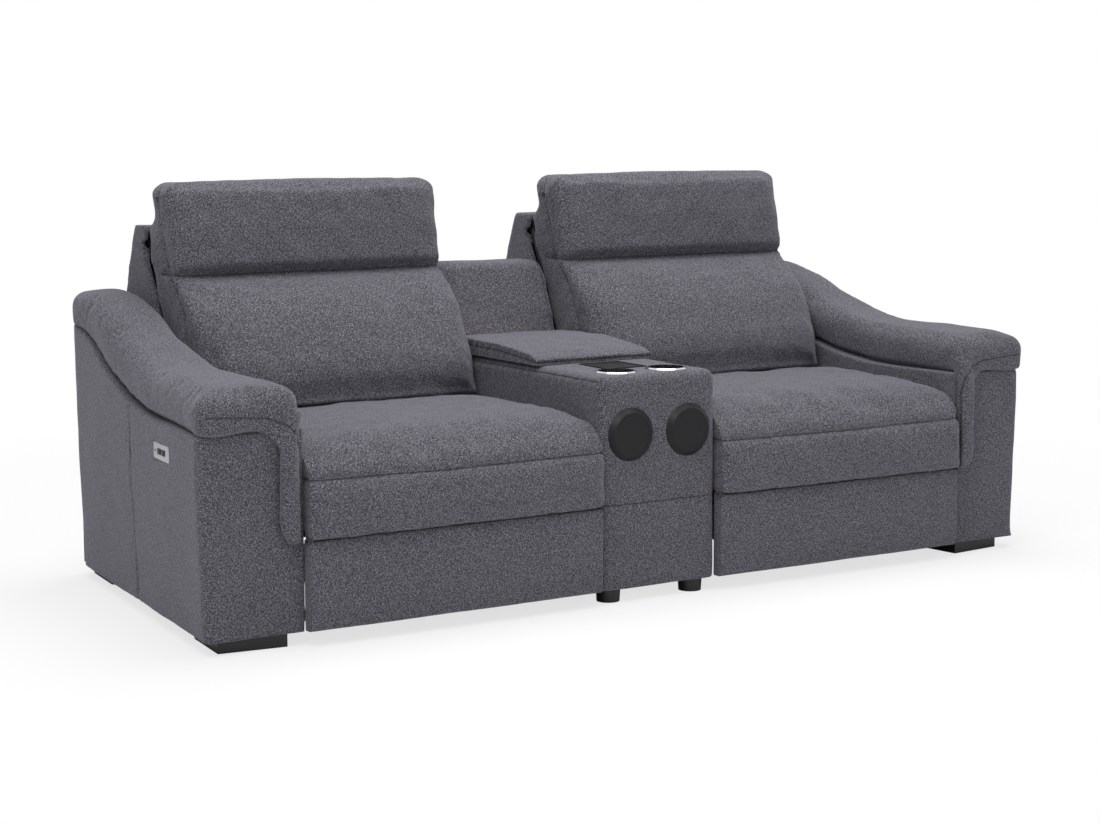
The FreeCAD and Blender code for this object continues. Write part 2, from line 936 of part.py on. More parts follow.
def storage_bin():
    """Lined storage box under the lid."""
    out = console_half - S.cover_wall - S.carcass_board - 2 * S.seam_gap
    front = S.lid_front + 2 * S.carcass_board + S.seam_gap
    back = S.console_depth - S.carcass_board - S.seam_gap
    top = S.console_top - S.deck_board
    wall = S.bin_wall
    outer = block(-out, out, front, back, S.bin_floor, top)
    inner = block(wall - out, out - wall, front + wall, back - wall, S.bin_floor + wall, top + 1)
    return cut(outer, inner)


def rear_pad():
    """Padded panel that stands behind the lid, between the two backs."""
    lean = tangent(S.rear_pad_lean)
    foot = S.rear_pad_foot
    top = S.rear_pad_top
    start = lid_rear + S.rear_pad_clear
    rise = top - foot
    side = prism(
        "YZ",
        [
            (start, foot),
            (S.console_depth + S.rear_pad_thick, foot),
            (start + S.rear_pad_thick + rise * lean, top),
            (start + rise * lean, top),
        ],
        -console_half + S.seam_gap,
        console_half - S.seam_gap,
    )
    low, high = number(foot), number(top)
    middle = number(start) + (high - low) * number(lean) + 2
    bent = rounded(side, S.rear_pad_bend, lambda at, way: at.z > high - 1 and at.y < middle)
    soft = rounded(
        bent,
        S.rear_pad_edge,
        lambda at, way: abs(at.x) > 170 and at.z > low + 1 and at.y < middle + 15,
    )
    board = block(
        -console_half,
        console_half,
        lid_rear - 1,
        S.console_depth + S.seam_gap,
        foot - 1,
        foot + rear_board_rise() + S.seam_gap,
    )
    return cut(soft, board)


def rear_board_rise():
    """How far the carcass's rear board stands above the foot of the rear pad: to just below the
    lid hinge's knuckles."""
    return hinge_z() - S.knuckle - S.leaf - S.rear_pad_foot


def lid_board():
    """Ply board that carries the lid's padding."""
    board = S.console_top + S.seam_gap
    half = console_half - S.lid_board_inset
    front = S.lid_front + S.lid_board_inset
    return block(-half, half, front, lid_rear, board, board + S.lid_board)


def lid_pad():
    """Padding of the lid: level at the rear, and sloping down to a thin lip at the front."""
    low = S.console_top + S.seam_gap
    high = low + S.lid_thick
    half = console_half - S.panel_gap / 2
    ease = S.lid_thick / 3
    pad = prism(
        "YZ",
        [
            (S.lid_front, low),
            (lid_rear, low),
            (lid_rear, high),
            (S.lid_front + S.lid_slope, high),
            (S.lid_front + ease, low + S.lid_lip + ease),
            (S.lid_front, low + S.lid_lip),
        ],
        -half,
        half,
    )
    board_half = console_half - S.lid_board_inset + S.seam_gap
    board = block(
        -board_half,
        board_half,
        S.lid_front + S.lid_board_inset - S.seam_gap,
        lid_rear + 1,
        low - 1,
        low + S.lid_board + S.seam_gap,
    )
    return cut(pad, board)


def knuckles(first, radius, gap):
    """Every second knuckle of the lid hinge along its length, short by a gap at each end."""
    pieces = 9
    pitch = S.hinge_length / pieces
    found = []
    for i in range(first, pieces, 2):
        start = -S.hinge_length / 2 + i * pitch + gap
        found.append(rod("X", start, hinge_y(), hinge_z(), radius, pitch - 2 * gap))
    return found


def hinge_y():
    return lid_rear + S.knuckle + S.seam_gap


def hinge_z():
    return S.console_top + S.lid_thick - S.hinge_drop


def lid_hinge_moving():
    """Leaf on the lid's rear edge, with every second knuckle."""
    leaf = block(
        -S.hinge_length / 2,
        S.hinge_length / 2,
        lid_rear,
        lid_rear + S.leaf,
        S.console_top + 1,
        hinge_z(),
    )
    shell = fuse(leaf, *knuckles(0, S.knuckle, S.knuckle_gap))
    bore = rod("X", -S.hinge_length, hinge_y(), hinge_z(), S.hinge_pin + S.pin_play, 2 * S.hinge_length)
    clear = knuckles(1, S.knuckle + S.seam_gap, 0)
    return cut(shell, bore, *clear)


def lid_hinge_fixed():
    """Leaf on the console's rear board with the other knuckles, and the pin pressed in them."""
    face = S.console_depth - S.carcass_board
    tail = S.console_top + 2
    plate = block(-S.hinge_length / 2, S.hinge_length / 2, face - S.leaf, face, tail, hinge_z() - S.knuckle)
    neck = block(
        -S.hinge_length / 2,
        S.hinge_length / 2,
        hinge_y(),
        face,
        hinge_z() - S.knuckle,
        hinge_z() - S.knuckle + S.leaf,
    )
    clear = knuckles(0, S.knuckle + S.seam_gap, 0)
    leaf = cut(fuse(plate, neck), *clear)
    pin = rod("X", -S.hinge_length / 2, hinge_y(), hinge_z(), S.hinge_pin, S.hinge_length)
    return fuse(leaf, *knuckles(1, S.knuckle, S.knuckle_gap), pin)


def console_foot(side, setback):
    x = side * (console_half - S.round_foot_inset)
    return cone("Z", x, setback, 0, S.round_foot / 2 - 2, S.round_foot / 2, S.skirt_height)


def rear_panel():
    """Low board behind the backs that ties the two arms together."""
    reach = arm_side(S.arm_rear, S.arm_corner)
    return block(-reach, reach, S.arm_rear, rear_reach, S.skirt_height, S.rear_panel_top)


# Layers of the footrest linkage, counted from the side plate towards the seat's middle.
PLATE, BARS, CROSSING, BRACKET = range(4)
mechanism_left = console_half + S.mechanism_inset
mechanism_right = arm_inner - S.mechanism_inset


def layer(end, index, depth=1):
    """Start of a layer along X at the seat's left (0) or right (1) end, for a piece that fills
    depth layers."""
    thick = S.bar_thick + (depth - 1) * S.layer_pitch
    if end == 0:
        return mechanism_left + index * S.layer_pitch
    return mechanism_right - index * S.layer_pitch - thick


def bar(end, index, y, z, angle, length, bores):
    """A flat link bar with round ends. Bores are (distance along the bar, radius)."""
    half = S.bar_width / 2
    thick = S.bar_thick
    strip = block(0, thick, 0, length, -half, half)
    ends = [rod("X", 0, distance, 0, half, thick) for distance in (0, length)]
    solid = fuse(strip, *ends)
    if bores:
        drills = [rod("X", -thick, distance, 0, radius, 3 * thick) for distance, radius in bores]
        solid = cut(solid, *drills)
    return place(solid, layer(end, index), y, z, FreeCAD.Vector(1, 0, 0), angle)


rivet_radius = S.rivet / 2
bore_radius = S.rivet / 2 + S.rivet_play
down_forward = -90 - S.bar_lean
up_forward = 90 + S.bar_lean
half_bar = S.bar_length / 2
pivot = (S.pivot_setback, S.pivot_level)
rear_middle = along(*pivot, down_forward, half_bar)
low_joint = along(*pivot, down_forward, S.bar_length)
high_joint = along(*rear_middle, up_forward, half_bar)
guide_start = along(*rear_middle, up_forward, -half_bar)
front_middle = along(*low_joint, up_forward, half_bar)
board_pivot = along(*low_joint, up_forward, S.bar_length)
low_end = along(*high_joint, down_forward, S.bar_length)


def rivet_at(end, point, first, last):
    """A rivet through the layers from first to last."""
    depth = last - first + 1
    start = layer(end, first, depth) if end == 0 else layer(end, last, 1)
    length = S.bar_thick + (depth - 1) * S.layer_pitch
    return rod("X", start, point[0], point[1], rivet_radius, length)


def rear_links():
    """The driven pair of bars, the torque tube that joins them and the slotted crank."""
    pieces = []
    for end in (0, 1):
        pieces.append(bar(end, BARS, *pivot, down_forward, S.bar_length, []))
        pieces.append(rivet_at(end, pivot, PLATE, BARS))
        pieces.append(rivet_at(end, rear_middle, BARS, CROSSING))
        pieces.append(rivet_at(end, low_joint, BARS, CROSSING))
    tube_start = layer(0, BARS) + S.bar_thick / 2
    tube_end = layer(1, BARS) + S.bar_thick / 2
    tube = rod("X", tube_start, *pivot, S.tube / 2, tube_end - tube_start)
    return fuse(*pieces, tube, crank())


crank_throw = S.rear_swing / 2
pin_reach = S.crank_drop / cosine(crank_throw)


def slotted_lug(x, reach, width, angle, y, z, slot_from, slot_width):
    """A flat lug that hangs from a tube, with a slot along it for a drive pin."""
    half = width / 2
    start = 0
    slot_half = slot_width / 2
    lug = prism(
        "YZ",
        [(start, -half), (reach + half, -half), (reach + half, half), (start, half)],
        0,
        S.crank_thick,
    )
    slot = prism(
        "YZ",
        [
            (slot_from - slot_half, -slot_half),
            (reach + slot_half, -slot_half),
            (reach + slot_half, slot_half),
            (slot_from - slot_half, slot_half),
        ],
        -S.crank_thick,
        2 * S.crank_thick,
    )
    return place(cut(lug, slot), x, y, z, FreeCAD.Vector(1, 0, 0), angle)


def crank():
    x = seat_middle - S.footrest_drive_shift - S.crank_thick / 2
    angle = -90 + crank_throw
    return slotted_lug(x, pin_reach, S.tube, angle, *pivot, S.crank_drop, S.rivet + 2 * slot_play())


def slot_play():
    """Half the slot's extra width, which takes up the crank's uneven pace."""
    return S.rivet * 0.3


def cross_links():
    """Bars that cross the driven pair; their rear pins run in the side plates' guide slots."""
    pieces = []
    for end in (0, 1):
        bores = [(half_bar, bore_radius)]
        pieces.append(
            fuse(
                bar(end, CROSSING, *guide_start, up_forward, S.bar_length, bores),
                rivet_at(end, high_joint, BARS, CROSSING),
                rivet_at(end, guide_start, PLATE, CROSSING),
            )
        )
    return group(pieces)


def front_links():
    """Bars from the crossing pair's upper ends down to the control links."""
    pieces = []
    for end in (0, 1):
        bores = [(0, bore_radius), (half_bar, bore_radius)]
        pieces.append(
            fuse(
                bar(end, BARS, *high_joint, down_forward, S.bar_length, bores),
                rivet_at(end, low_end, PLATE, BARS),
            )
        )
    return group(pieces)


def lift_links():
    """Bars from the driven pair's lower ends up to the footrest frame."""
    pieces = []
    for end in (0, 1):
        bores = [(0, bore_radius)]
        pieces.append(
            fuse(
                bar(end, CROSSING, *low_joint, up_forward, S.bar_length, bores),
                rivet_at(end, front_middle, BARS, CROSSING),
                rivet_at(end, board_pivot, CROSSING, BRACKET),
            )
        )
    return group(pieces)


def control_links():
    """Short links that turn the footrest frame; their upper ends are the open pivots."""
    pieces = []
    for end in (0, 1):
        bores = [(0, bore_radius), (S.control_length, rivet_radius * 1.5)]
        pieces.append(bar(end, PLATE, *low_end, 90, S.control_length, bores))
    return group(pieces)


def footrest_frame():
    """Steel pan of the footrest with a bracket plate at each end."""
    back = S.footrest_pad_back
    low = S.footrest_foot + 24
    high = S.footrest_top - 15
    reach = board_pivot[0] + S.bar_width / 2
    pieces = []
    for end in (0, 1):
        x = layer(end, BRACKET)
        control_level = board_pivot[1] - S.control_pivot_drop
        plate = prism(
            "YZ",
            [
                (back, control_level - S.bar_width),
                (reach - S.bar_width / 3, control_level - S.bar_width / 2),
                (reach, board_pivot[1] - S.bar_width / 2),
                (reach, board_pivot[1] + S.bar_width / 2),
                (back, high),
            ],
            x,
            x + S.bar_thick,
            [(board_pivot[0], board_pivot[1], bore_radius)],
        )
        pieces.append(plate)
    pan = block(layer(0, BRACKET), layer(1, BRACKET) + S.bar_thick, back, back + S.pan_thick, low, high)
    lips = [
        block(
            layer(0, BRACKET) + S.bar_thick,
            layer(1, BRACKET),
            back,
            back + 4 * S.pan_thick,
            level,
            level + S.pan_thick,
        )
        for level in (low, high - S.pan_thick)
    ]
    return fuse(*pieces, pan, *lips)


def footrest_pad():
    """Padded front panel of the footrest, as wide as the seat."""
    face = -S.footrest_front
    slab = block(
        seat_left, seat_right, face, S.footrest_pad_back - S.seam_gap, S.footrest_foot, S.footrest_top
    )
    return rounded(slab, 12, lambda at, way: at.y < number(face) + 1)


guide_half = S.rivet / 2 + S.guide_play
front_beam = S.pivot_setback + 6 * S.tube
rear_beam = S.recline_setback - 4 * S.tube


def guide_point(share):
    """Where the crossing bar's rear pin is when the footrest is that share of the way out."""
    back = down_forward - share * S.rear_swing
    cross = up_forward + share * S.cross_swing
    middle = along(*pivot, back, half_bar)
    return along(*middle, cross, -half_bar)


def side_plate(end):
    """Steel side plate of one end of a seat's mechanism, with the pivot bore, the guide slot
    and the recline bore."""
    x = layer(end, PLATE)
    thick = S.bar_thick
    ahead = S.pivot_setback - S.tube
    recline = (S.recline_setback, S.recline_height)
    plate = prism(
        "YZ",
        [
            (ahead, S.pivot_level - S.tube),
            (ahead, S.skirt_height + S.bar_width / 2),
            (ahead + 2 * S.tube, S.skirt_height + S.bar_width / 2),
            (ahead + 4 * S.tube, S.skirt_height + 3 * S.bar_width),
            (S.recline_setback - 2 * S.tube, S.skirt_height + 3 * S.bar_width),
            (S.recline_setback + S.tube, S.recline_height - S.tube),
            (S.recline_setback + S.tube, S.recline_height + S.tube),
            (S.recline_setback - S.tube, S.recline_height + S.tube),
            (S.seat_rear + S.bar_thick, S.frame_top - S.spring_wire),
            (ahead + 2 * S.tube, S.frame_top - S.spring_wire),
            (ahead, S.crease_level + S.rail_thick),
        ],
        x,
        x + thick,
        [(*pivot, bore_radius), (*recline, S.tube / 2 + S.rivet_play)],
    )
    points = [guide_point(share / 8) for share in range(9)]
    slots = []
    for near, far in zip(points, points[1:]):
        run_y, run_z = far[0] - near[0], far[1] - near[1]
        length = math.hypot(run_y.number, run_z.number)
        across = (run_z * (guide_half.number / length), -run_y * (guide_half.number / length))
        slots.append(
            prism(
                "YZ",
                [
                    (near[0] + across[0], near[1] + across[1]),
                    (far[0] + across[0], far[1] + across[1]),
                    (far[0] - across[0], far[1] - across[1]),
                    (near[0] - across[0], near[1] - across[1]),
                ],
                x - thick,
                x + 2 * thick,
            )
        )
    ends = [rod("X", x - thick, *point, guide_half, 3 * thick) for point in points]
    return cut(plate, *slots, *ends)


def mechanism_frame():
    """Two side plates, the beams that carry them between arm and console, and the clevises that
    hold the actuators."""
    plates = [side_plate(0), side_plate(1)]
    low = S.skirt_height + 3 * S.bar_width
    high = low + S.tube
    beams = [
        block(console_half, arm_inner, setback, setback + S.tube, low, high)
        for setback in (front_beam, rear_beam)
    ]
    half = S.actuator_tube
    drives = (
        (seat_middle - S.footrest_drive_shift, rear_beam, footrest_drive_level()),
        (seat_middle + S.recline_drive_shift, front_beam, S.recline_level),
    )
    stands = [
        block(x - half, x + half, setback, setback + S.bar_thick, high - 1, level)
        for x, setback, level in drives
    ]
    return fuse(*plates, *beams, *stands)


def footrest_drive_level():
    return S.pivot_level - S.crank_drop


def actuator(x, level, seat, way, body_length):
    """Linear actuator: a bored tube that reaches from its seat, and its gear motor below the
    seat end. Way is 1 towards the back and -1 towards the front."""
    start = seat if way > 0 else seat - body_length
    tube = rod("Y", x, start, level, S.actuator_tube / 2, body_length)
    bore = rod("Y", x, start - 1 if way < 0 else start + S.motor_size, level,
               S.actuator_rod / 2 + S.rivet_play, body_length - S.motor_size + 1)
    motor_start = seat if way > 0 else seat - S.motor_size
    motor = block(
        x - S.actuator_tube * 0.7,
        x + S.actuator_tube * 0.7,
        motor_start,
        motor_start + S.motor_size,
        level - S.actuator_tube * 0.7,
        level - S.actuator_tube * 0.7 + S.motor_height,
    )
    low = level - S.actuator_tube * 0.7
    middle = motor_start + S.motor_size / 2
    jack = rod("Z", x, middle, low - S.inlet_height, S.inlet / 2 + 3, S.inlet_height + 1)
    socket = rod("Z", x, middle, low - S.inlet_height - 1, S.inlet / 2, S.inlet_height)
    contact = rod("Z", x, middle, low - S.inlet_height + 1, S.inlet / 5, S.inlet_height)
    return fuse(cut(fuse(tube, motor, jack), bore, socket), contact)


def actuators():
    """The two drives of one seat: the front one for the footrest, the rear one for the back."""
    footrest = actuator(
        seat_middle - S.footrest_drive_shift,
        footrest_drive_level(),
        rear_beam,
        -1,
        rear_beam - S.pivot_setback - 4 * S.tube,
    )
    recline = actuator(
        seat_middle + S.recline_drive_shift,
        S.recline_level,
        front_beam + S.bar_thick,
        1,
        rear_beam - front_beam,
    )
    return group([footrest, recline])


def fork(x, pin_y, level, way):
    """Fork and pin on a rod's end, around a slotted lug. Way is 1 where the rod runs towards the
    back from the pin, and -1 where it runs towards the front."""
    gap = S.crank_thick / 2 + 2 * S.seam_gap
    out = gap + S.bar_thick
    tip = pin_y - way * S.rivet
    root = pin_y + way * S.fork_length
    near, far = (tip, root) if way > 0 else (root, tip)
    low, high = level - S.rivet, level + S.rivet
    thick = S.bar_thick
    yoke = root - thick if way > 0 else root
    return [
        block(x - out, x - gap, near, far, low, high),
        block(x + gap, x + out, near, far, low, high),
        block(x - out, x + out, yoke, yoke + thick, low, high),
        rod("X", x - out, pin_y, level, rivet_radius, 2 * out),
    ]


def footrest_rod():
    """Rod of the footrest actuator, from inside its tube to the crank."""
    x = seat_middle - S.footrest_drive_shift
    level = footrest_drive_level()
    pin_y = S.pivot_setback + S.crank_drop * tangent(crank_throw)
    root = pin_y + S.fork_length - S.bar_thick / 2
    inside = rear_beam - S.motor_size - S.rivet
    shaft = rod("Y", x, root, level, S.actuator_rod / 2, inside - root)
    return fuse(shaft, *fork(x, pin_y, level, 1))


back_throw = 14
lug_drop = S.recline_height - S.recline_level


def recline_rod():
    """Rod of the recline actuator, from inside its tube to the back frame's lug."""
    x = seat_middle + S.recline_drive_shift
    level = S.recline_level
    pin_y = S.recline_setback + lug_drop * tangent(back_throw)
    root = pin_y - S.fork_length + S.bar_thick / 2
    inside = front_beam + S.bar_thick + S.motor_size + lug_drop
    shaft = rod("Y", x, inside, level, S.actuator_rod / 2, root - inside)
    return fuse(shaft, *fork(x, pin_y, level, -1))


def seat_frame():
    """Wooden frame under the seat cushion: two side rails, a front rail and a rear rail."""
    high = S.frame_top
    low = high - S.rail_height
    left = layer(0, PLATE) + S.bar_thick
    right = layer(1, PLATE)
    front = S.pivot_setback - 4 * S.rail_thick
    back = S.seat_rear - S.rail_thick
    outer = block(left, right, front, back, low, high)
    inner = block(
        left + S.rail_thick,
        right - S.rail_thick,
        front + S.rail_thick,
        back - S.rail_thick,
        low - 1,
        high + 1,
    )
    return cut(outer, inner)


def seat_spring(x):
    """One sinuous spring: a flat zigzag wire from the front rail to the rear rail."""
    wire = S.spring_wire
    front = S.pivot_setback - 4 * S.rail_thick
    run = S.seat_rear - S.rail_thick - front
    step = run / (2 * S.spring_turns.number)
    near, far = [], []
    turns = int(2 * S.spring_turns.number)
    for i in range(turns + 1):
        side = -1 if i % 2 else 1
        offset = side * S.spring_swing / 2 if 0 < i < turns else 0
        near.append((x + offset - wire / 2, front + i * step))
        far.append((x + offset + wire / 2, front + i * step))
    return prism("XY", near + far[::-1], S.frame_top, S.frame_top + wire)


def seat_springs():
    pitch = (S.seat_width - 6 * S.rail_thick) / (S.spring_count.number - 1)
    count = int(S.spring_count.number)
    first = seat_middle - pitch * (count - 1) / 2
    return group([seat_spring(first + i * pitch) for i in range(count)])


def seat_cushion():
    """Seat cushion: upright front, rounded into a gently crowned top, with a lip that hangs in
    front of the frame."""
    front = -S.front_reach
    lip = S.seat_lip
    curl = lip * 0.4
    edge = S.seat_front_edge
    high = S.seat_top
    under = S.frame_top + S.spring_wire + S.seam_gap
    side = prism(
        "YZ",
        [
            (front + curl, S.crease_level, curl, 1),
            (front + lip, S.crease_level),
            (front + lip, under),
            (S.seat_rear, under),
            (S.seat_rear, high - 17),
            (S.seat_rear / 2.4, high, 4200, 1),
            (front + edge, high - 9, 1850, 1),
            (front, high - 9 - edge, edge, 1),
            (front, S.crease_level + curl),
        ],
        seat_left,
        seat_right,
    )
    return side


def frame_line(z, ahead=0):
    """Y of the back frame's front face at a height, or that far ahead of it."""
    return S.back_frame_start + (z - S.back_frame_foot) * tangent(S.back_lean) - ahead


def leaning(y_ahead, low, high, thick, start, end):
    """A slab that leans with the back frame between two heights."""
    return prism(
        "YZ",
        [
            (frame_line(low, y_ahead), low),
            (frame_line(low, y_ahead) + thick, low),
            (frame_line(high, y_ahead) + thick, high),
            (frame_line(high, y_ahead), high),
        ],
        start,
        end,
    )


def back_frame():
    """Welded back frame: stiles, rails, the recline tube with its side brackets, the slotted
    lug and the ears of the headrest."""
    left = back_left + S.shell_wall + S.seam_gap
    right = back_right - S.shell_wall - S.seam_gap
    low = S.back_frame_foot
    high = S.back_frame_top
    thick = S.stile_thick
    wide = S.stile_width
    tube = rod("X", layer(0, PLATE), S.recline_setback, S.recline_height, S.tube / 2,
               layer(1, PLATE) + S.bar_thick - layer(0, PLATE))
    parts = [
        leaning(0, low, high, thick, left, left + wide),
        leaning(0, low, high, thick, right - wide, right),
        leaning(0, high - wide, high, thick, left, right),
        leaning(0, low, low + wide, thick, left, right),
        leaning(0, (low + high) / 2, (low + high) / 2 + wide, thick, left, right),
        tube,
    ]
    for start in (left, right - S.bar_thick):
        parts.append(
            prism(
                "YZ",
                [
                    (S.recline_setback - S.tube / 2, S.recline_height - S.tube / 2),
                    (S.recline_setback + S.tube, S.recline_height - S.tube / 2),
                    (frame_line(low + 2 * wide) + thick, low + 2 * wide),
                    (frame_line(low + 2 * wide), low + 2 * wide),
                ],
                start,
                start + S.bar_thick,
            )
        )
    parts.extend(headrest_ear(start) for start in (left + wide / 2, right - wide / 2 - S.bar_thick))
    x = seat_middle + S.recline_drive_shift - S.crank_thick / 2
    reach = lug_drop / cosine(back_throw)
    angle = -90 + back_throw
    slot_width = S.rivet + 2 * slot_play()
    y, z = S.recline_setback, S.recline_height
    parts.append(slotted_lug(x, reach, S.tube, angle, y, z, lug_drop, slot_width))
    return fuse(*parts)


def headrest_ear(start):
    """Flat ear on the back frame that carries one end of the headrest's tube."""
    y, z = S.headrest_axis_y, S.headrest_axis_z
    half = S.ear_height / 2
    root = frame_line(z) + S.stile_thick / 2
    tongue = block(start, start + S.bar_thick, y, root, z - half, z + half)
    tip = rod("X", start, y, z, half, S.bar_thick)
    bore = rod("X", start - 1, y, z, S.headrest_tube / 2 + S.rivet_play, S.bar_thick + 2)
    return cut(fuse(tongue, tip), bore)


def back_cushion():
    """Back cushion with a full lumbar belly, between the arm and the console."""
    low = S.cushion_foot
    high = S.cushion_top
    ahead = 225
    side = prism(
        "YZ",
        [
            (frame_line(low, ahead) + 20, low, 20, 1),
            (frame_line(low, S.seam_gap), low),
            (frame_line(high, S.seam_gap), high),
            (frame_line(high, 112), high),
            (frame_line(high, 132), high - 22, 30, 1),
            (frame_line(low, ahead), low + 20, 620, 1),
        ],
        back_left,
        back_right,
    )
    return rounded(
        side,
        16,
        lambda at, way: abs(way.x) < 0.1
        and at.y < number(frame_line(high, 100))
        and number(low) + 22 < at.z < number(high) - 24
        and (at.x < number(back_left) + 1 or at.x > number(back_right) - 1)
        and at.y < number(frame_line(Size("0", at.z), 60)),
    )


def back_shell():
    """Outer cover of the back: a box of thin walls around the frame, open in front and below."""
    high = S.shell_top
    low = S.shell_foot
    wall = S.shell_wall
    rear = S.shell_rear
    slope_start = high - 165

    def outline(inset):
        return [
            (frame_line(low, 0) + 150 + inset, low),
            (rear - inset, low),
            (rear - inset, slope_start),
            (rear - 70 - inset, high - inset),
            (frame_line(high, 22), high - inset),
            (frame_line(high, 22), high - 40),
            (frame_line(high - 40) + S.stile_thick + 4 + inset, high - 44),
            (frame_line(S.cushion_foot) + S.stile_thick + 4 + inset, S.cushion_foot),
        ]

    outer = prism("YZ", outline(0), back_left, back_right)
    inner = prism(
        "YZ",
        [
            (frame_line(low, 0) + 149 - wall, low - 1),
            (rear - wall, low - 1),
            (rear - wall, slope_start),
            (rear - 70 - wall, high - wall),
            (frame_line(high, 22) - wall, high - wall),
            (frame_line(high, 22) - wall, high - 41),
            (frame_line(high - 41) + S.stile_thick, high - 44 - wall),
            (frame_line(S.cushion_foot) + S.stile_thick, S.cushion_foot - wall),
        ],
        back_left + wall,
        back_right - wall,
    )
    soft = rounded(
        outer,
        14,
        lambda at, way: (abs(way.x) < 0.1 and at.z > number(slope_start) - 5 and at.y > number(rear) - 90)
        or (abs(way.x) > 0.9 and at.z > number(high) - 5),
    )
    frame_room = leaning(
        S.seam_gap,
        high - 60,
        S.back_frame_top + S.seam_gap,
        S.stile_thick + 2 * S.seam_gap,
        back_left + wall,
        back_right - wall,
    )
    return cut(soft, inner, frame_room)


def headrest_line(z):
    return S.headrest_front + (z - S.headrest_foot) * tangent(S.headrest_lean)


def headrest_pad():
    """Thick headrest cushion, leaning a little less than the back."""
    low = S.headrest_foot
    high = S.headrest_top
    thick = S.headrest_thick
    side = prism(
        "YZ",
        [
            (headrest_line(low), low),
            (headrest_line(low) + thick, low),
            (headrest_line(high) + thick, high),
            (headrest_line(high), high),
        ],
        back_left,
        back_right,
    )
    foot = number(low) + 3
    face = number(headrest_line(low)) + 3
    return rounded(side, 22, lambda at, way: at.z > foot or at.y < face)


def headrest_bracket():
    """Tube in the back frame's ears with two straps that run up behind the headrest."""
    axis_y, axis_z = S.headrest_axis_y, S.headrest_axis_z
    strap = S.headrest_strap
    low = S.headrest_foot
    top = S.headrest_top - 60
    back = headrest_line(low) + S.headrest_thick + 0.5
    inset = S.shell_wall + S.stile_width / 2
    start = back_left + inset - S.bar_thick
    end = back_right - inset + S.bar_thick
    tube = rod("X", start, axis_y, axis_z, S.headrest_tube / 2, end - start)
    straps = []
    for shift in (-1, 1):
        middle = seat_middle + shift * S.seat_width / 4
        straps.append(
            prism(
                "YZ",
                [
                    (axis_y, axis_z + 3),
                    (back + strap, axis_z + 3),
                    (headrest_line(low) + S.headrest_thick + 0.5 + strap, low),
                    (headrest_line(top) + S.headrest_thick + 0.5 + strap, top),
                    (headrest_line(top) + S.headrest_thick + 0.5, top),
                    (headrest_line(low) + S.headrest_thick + 0.5, low),
                    (back, axis_z + 3 + strap),
                    (axis_y, axis_z + 3 + strap),
                ],
                middle - S.headrest_strap_width / 2,
                middle + S.headrest_strap_width / 2,
            )
        )
    return fuse(tube, *straps)


# The console.
deliver(console_carcass(), "console_carcass")
deliver(console_cover(), "console_cover")
deliver(storage_bin(), "storage_bin")
deliver(group([cup_holder(-1), cup_holder(1)]), "cup_holders")
deliver(charging_pad(), "charging_pad")
deliver(group([speaker_ring(-1), speaker_ring(1)]), "speaker_rings")
deliver(group([speaker_cone(-1), speaker_cone(1)]), "speaker_cones")
deliver(group([speaker_driver(-1), speaker_driver(1)]), "speaker_drivers")
deliver(rear_pad(), "console_rear_pad")
deliver(lid_board(), "lid_board")
deliver(lid_pad(), "lid_pad")
deliver(lid_hinge_moving(), "lid_hinge_moving_leaf")
deliver(lid_hinge_fixed(), "lid_hinge_fixed_leaf")
round_feet = [
    console_foot(side, setback)
    for side in (-1, 1)
    for setback in (S.round_foot_inset - 13, S.console_depth - S.round_foot_inset)
]
deliver(group(round_feet), "console_feet")

# Pieces that both sides share.
both_sides(block_feet(), "block_feet")
both_sides(arm_frame(), "arm_frames")
both_sides(control_plate(), "control_plates")
both_sides(seat_frame(), "seat_frames")
both_sides(seat_springs(), "seat_springs")
both_sides(mechanism_frame(), "mechanism_frames")
both_sides(actuators(), "actuators")
deliver(rear_panel(), "rear_panel")

# Pieces that each side has as its own.
deliver_pair(cut(arm_cover(), plate_pocket()), "arm_cover")
deliver_pair(arm_pad(), "arm_pad")
deliver_pair(rocker(-1), "recline_rocker")
deliver_pair(rocker(1), "headrest_rocker")
deliver_pair(seat_cushion(), "seat_cushion")
deliver_pair(rear_links(), "rear_links")
deliver_pair(cross_links(), "cross_links")
deliver_pair(front_links(), "front_links")
deliver_pair(lift_links(), "lift_links")
deliver_pair(control_links(), "control_links")
deliver_pair(footrest_frame(), "footrest_frame")
deliver_pair(footrest_pad(), "footrest_pad")
deliver_pair(footrest_rod(), "footrest_rod")
deliver_pair(recline_rod(), "recline_rod")
deliver_pair(back_frame(), "back_frame")
deliver_pair(back_cushion(), "back_cushion")
deliver_pair(back_shell(), "back_shell")
deliver_pair(headrest_bracket(), "headrest_bracket")
deliver_pair(headrest_pad(), "headrest_pad")

doc.recompute()

faults = []
for thing in doc.Objects:
    if "Invalid" in thing.State or "Error" in thing.State:
        faults.append(f"{thing.Name} is {thing.State}")
for node in NODES:
    if node.Shape.isNull() or not node.Shape.isValid() or not node.Shape.Solids:
        faults.append(f"{node.Label} has no valid solid")
if faults:
    raise RuntimeError("; ".join(faults))

os.makedirs("parts", exist_ok=True)
for node in NODES:
    node.Shape.exportStep(os.path.join("parts", node.Label + ".step"))
print(len(NODES), "sub-parts written")
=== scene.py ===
import math

import bmesh
import bpy
import numpy as np
from mathutils import Matrix, Vector


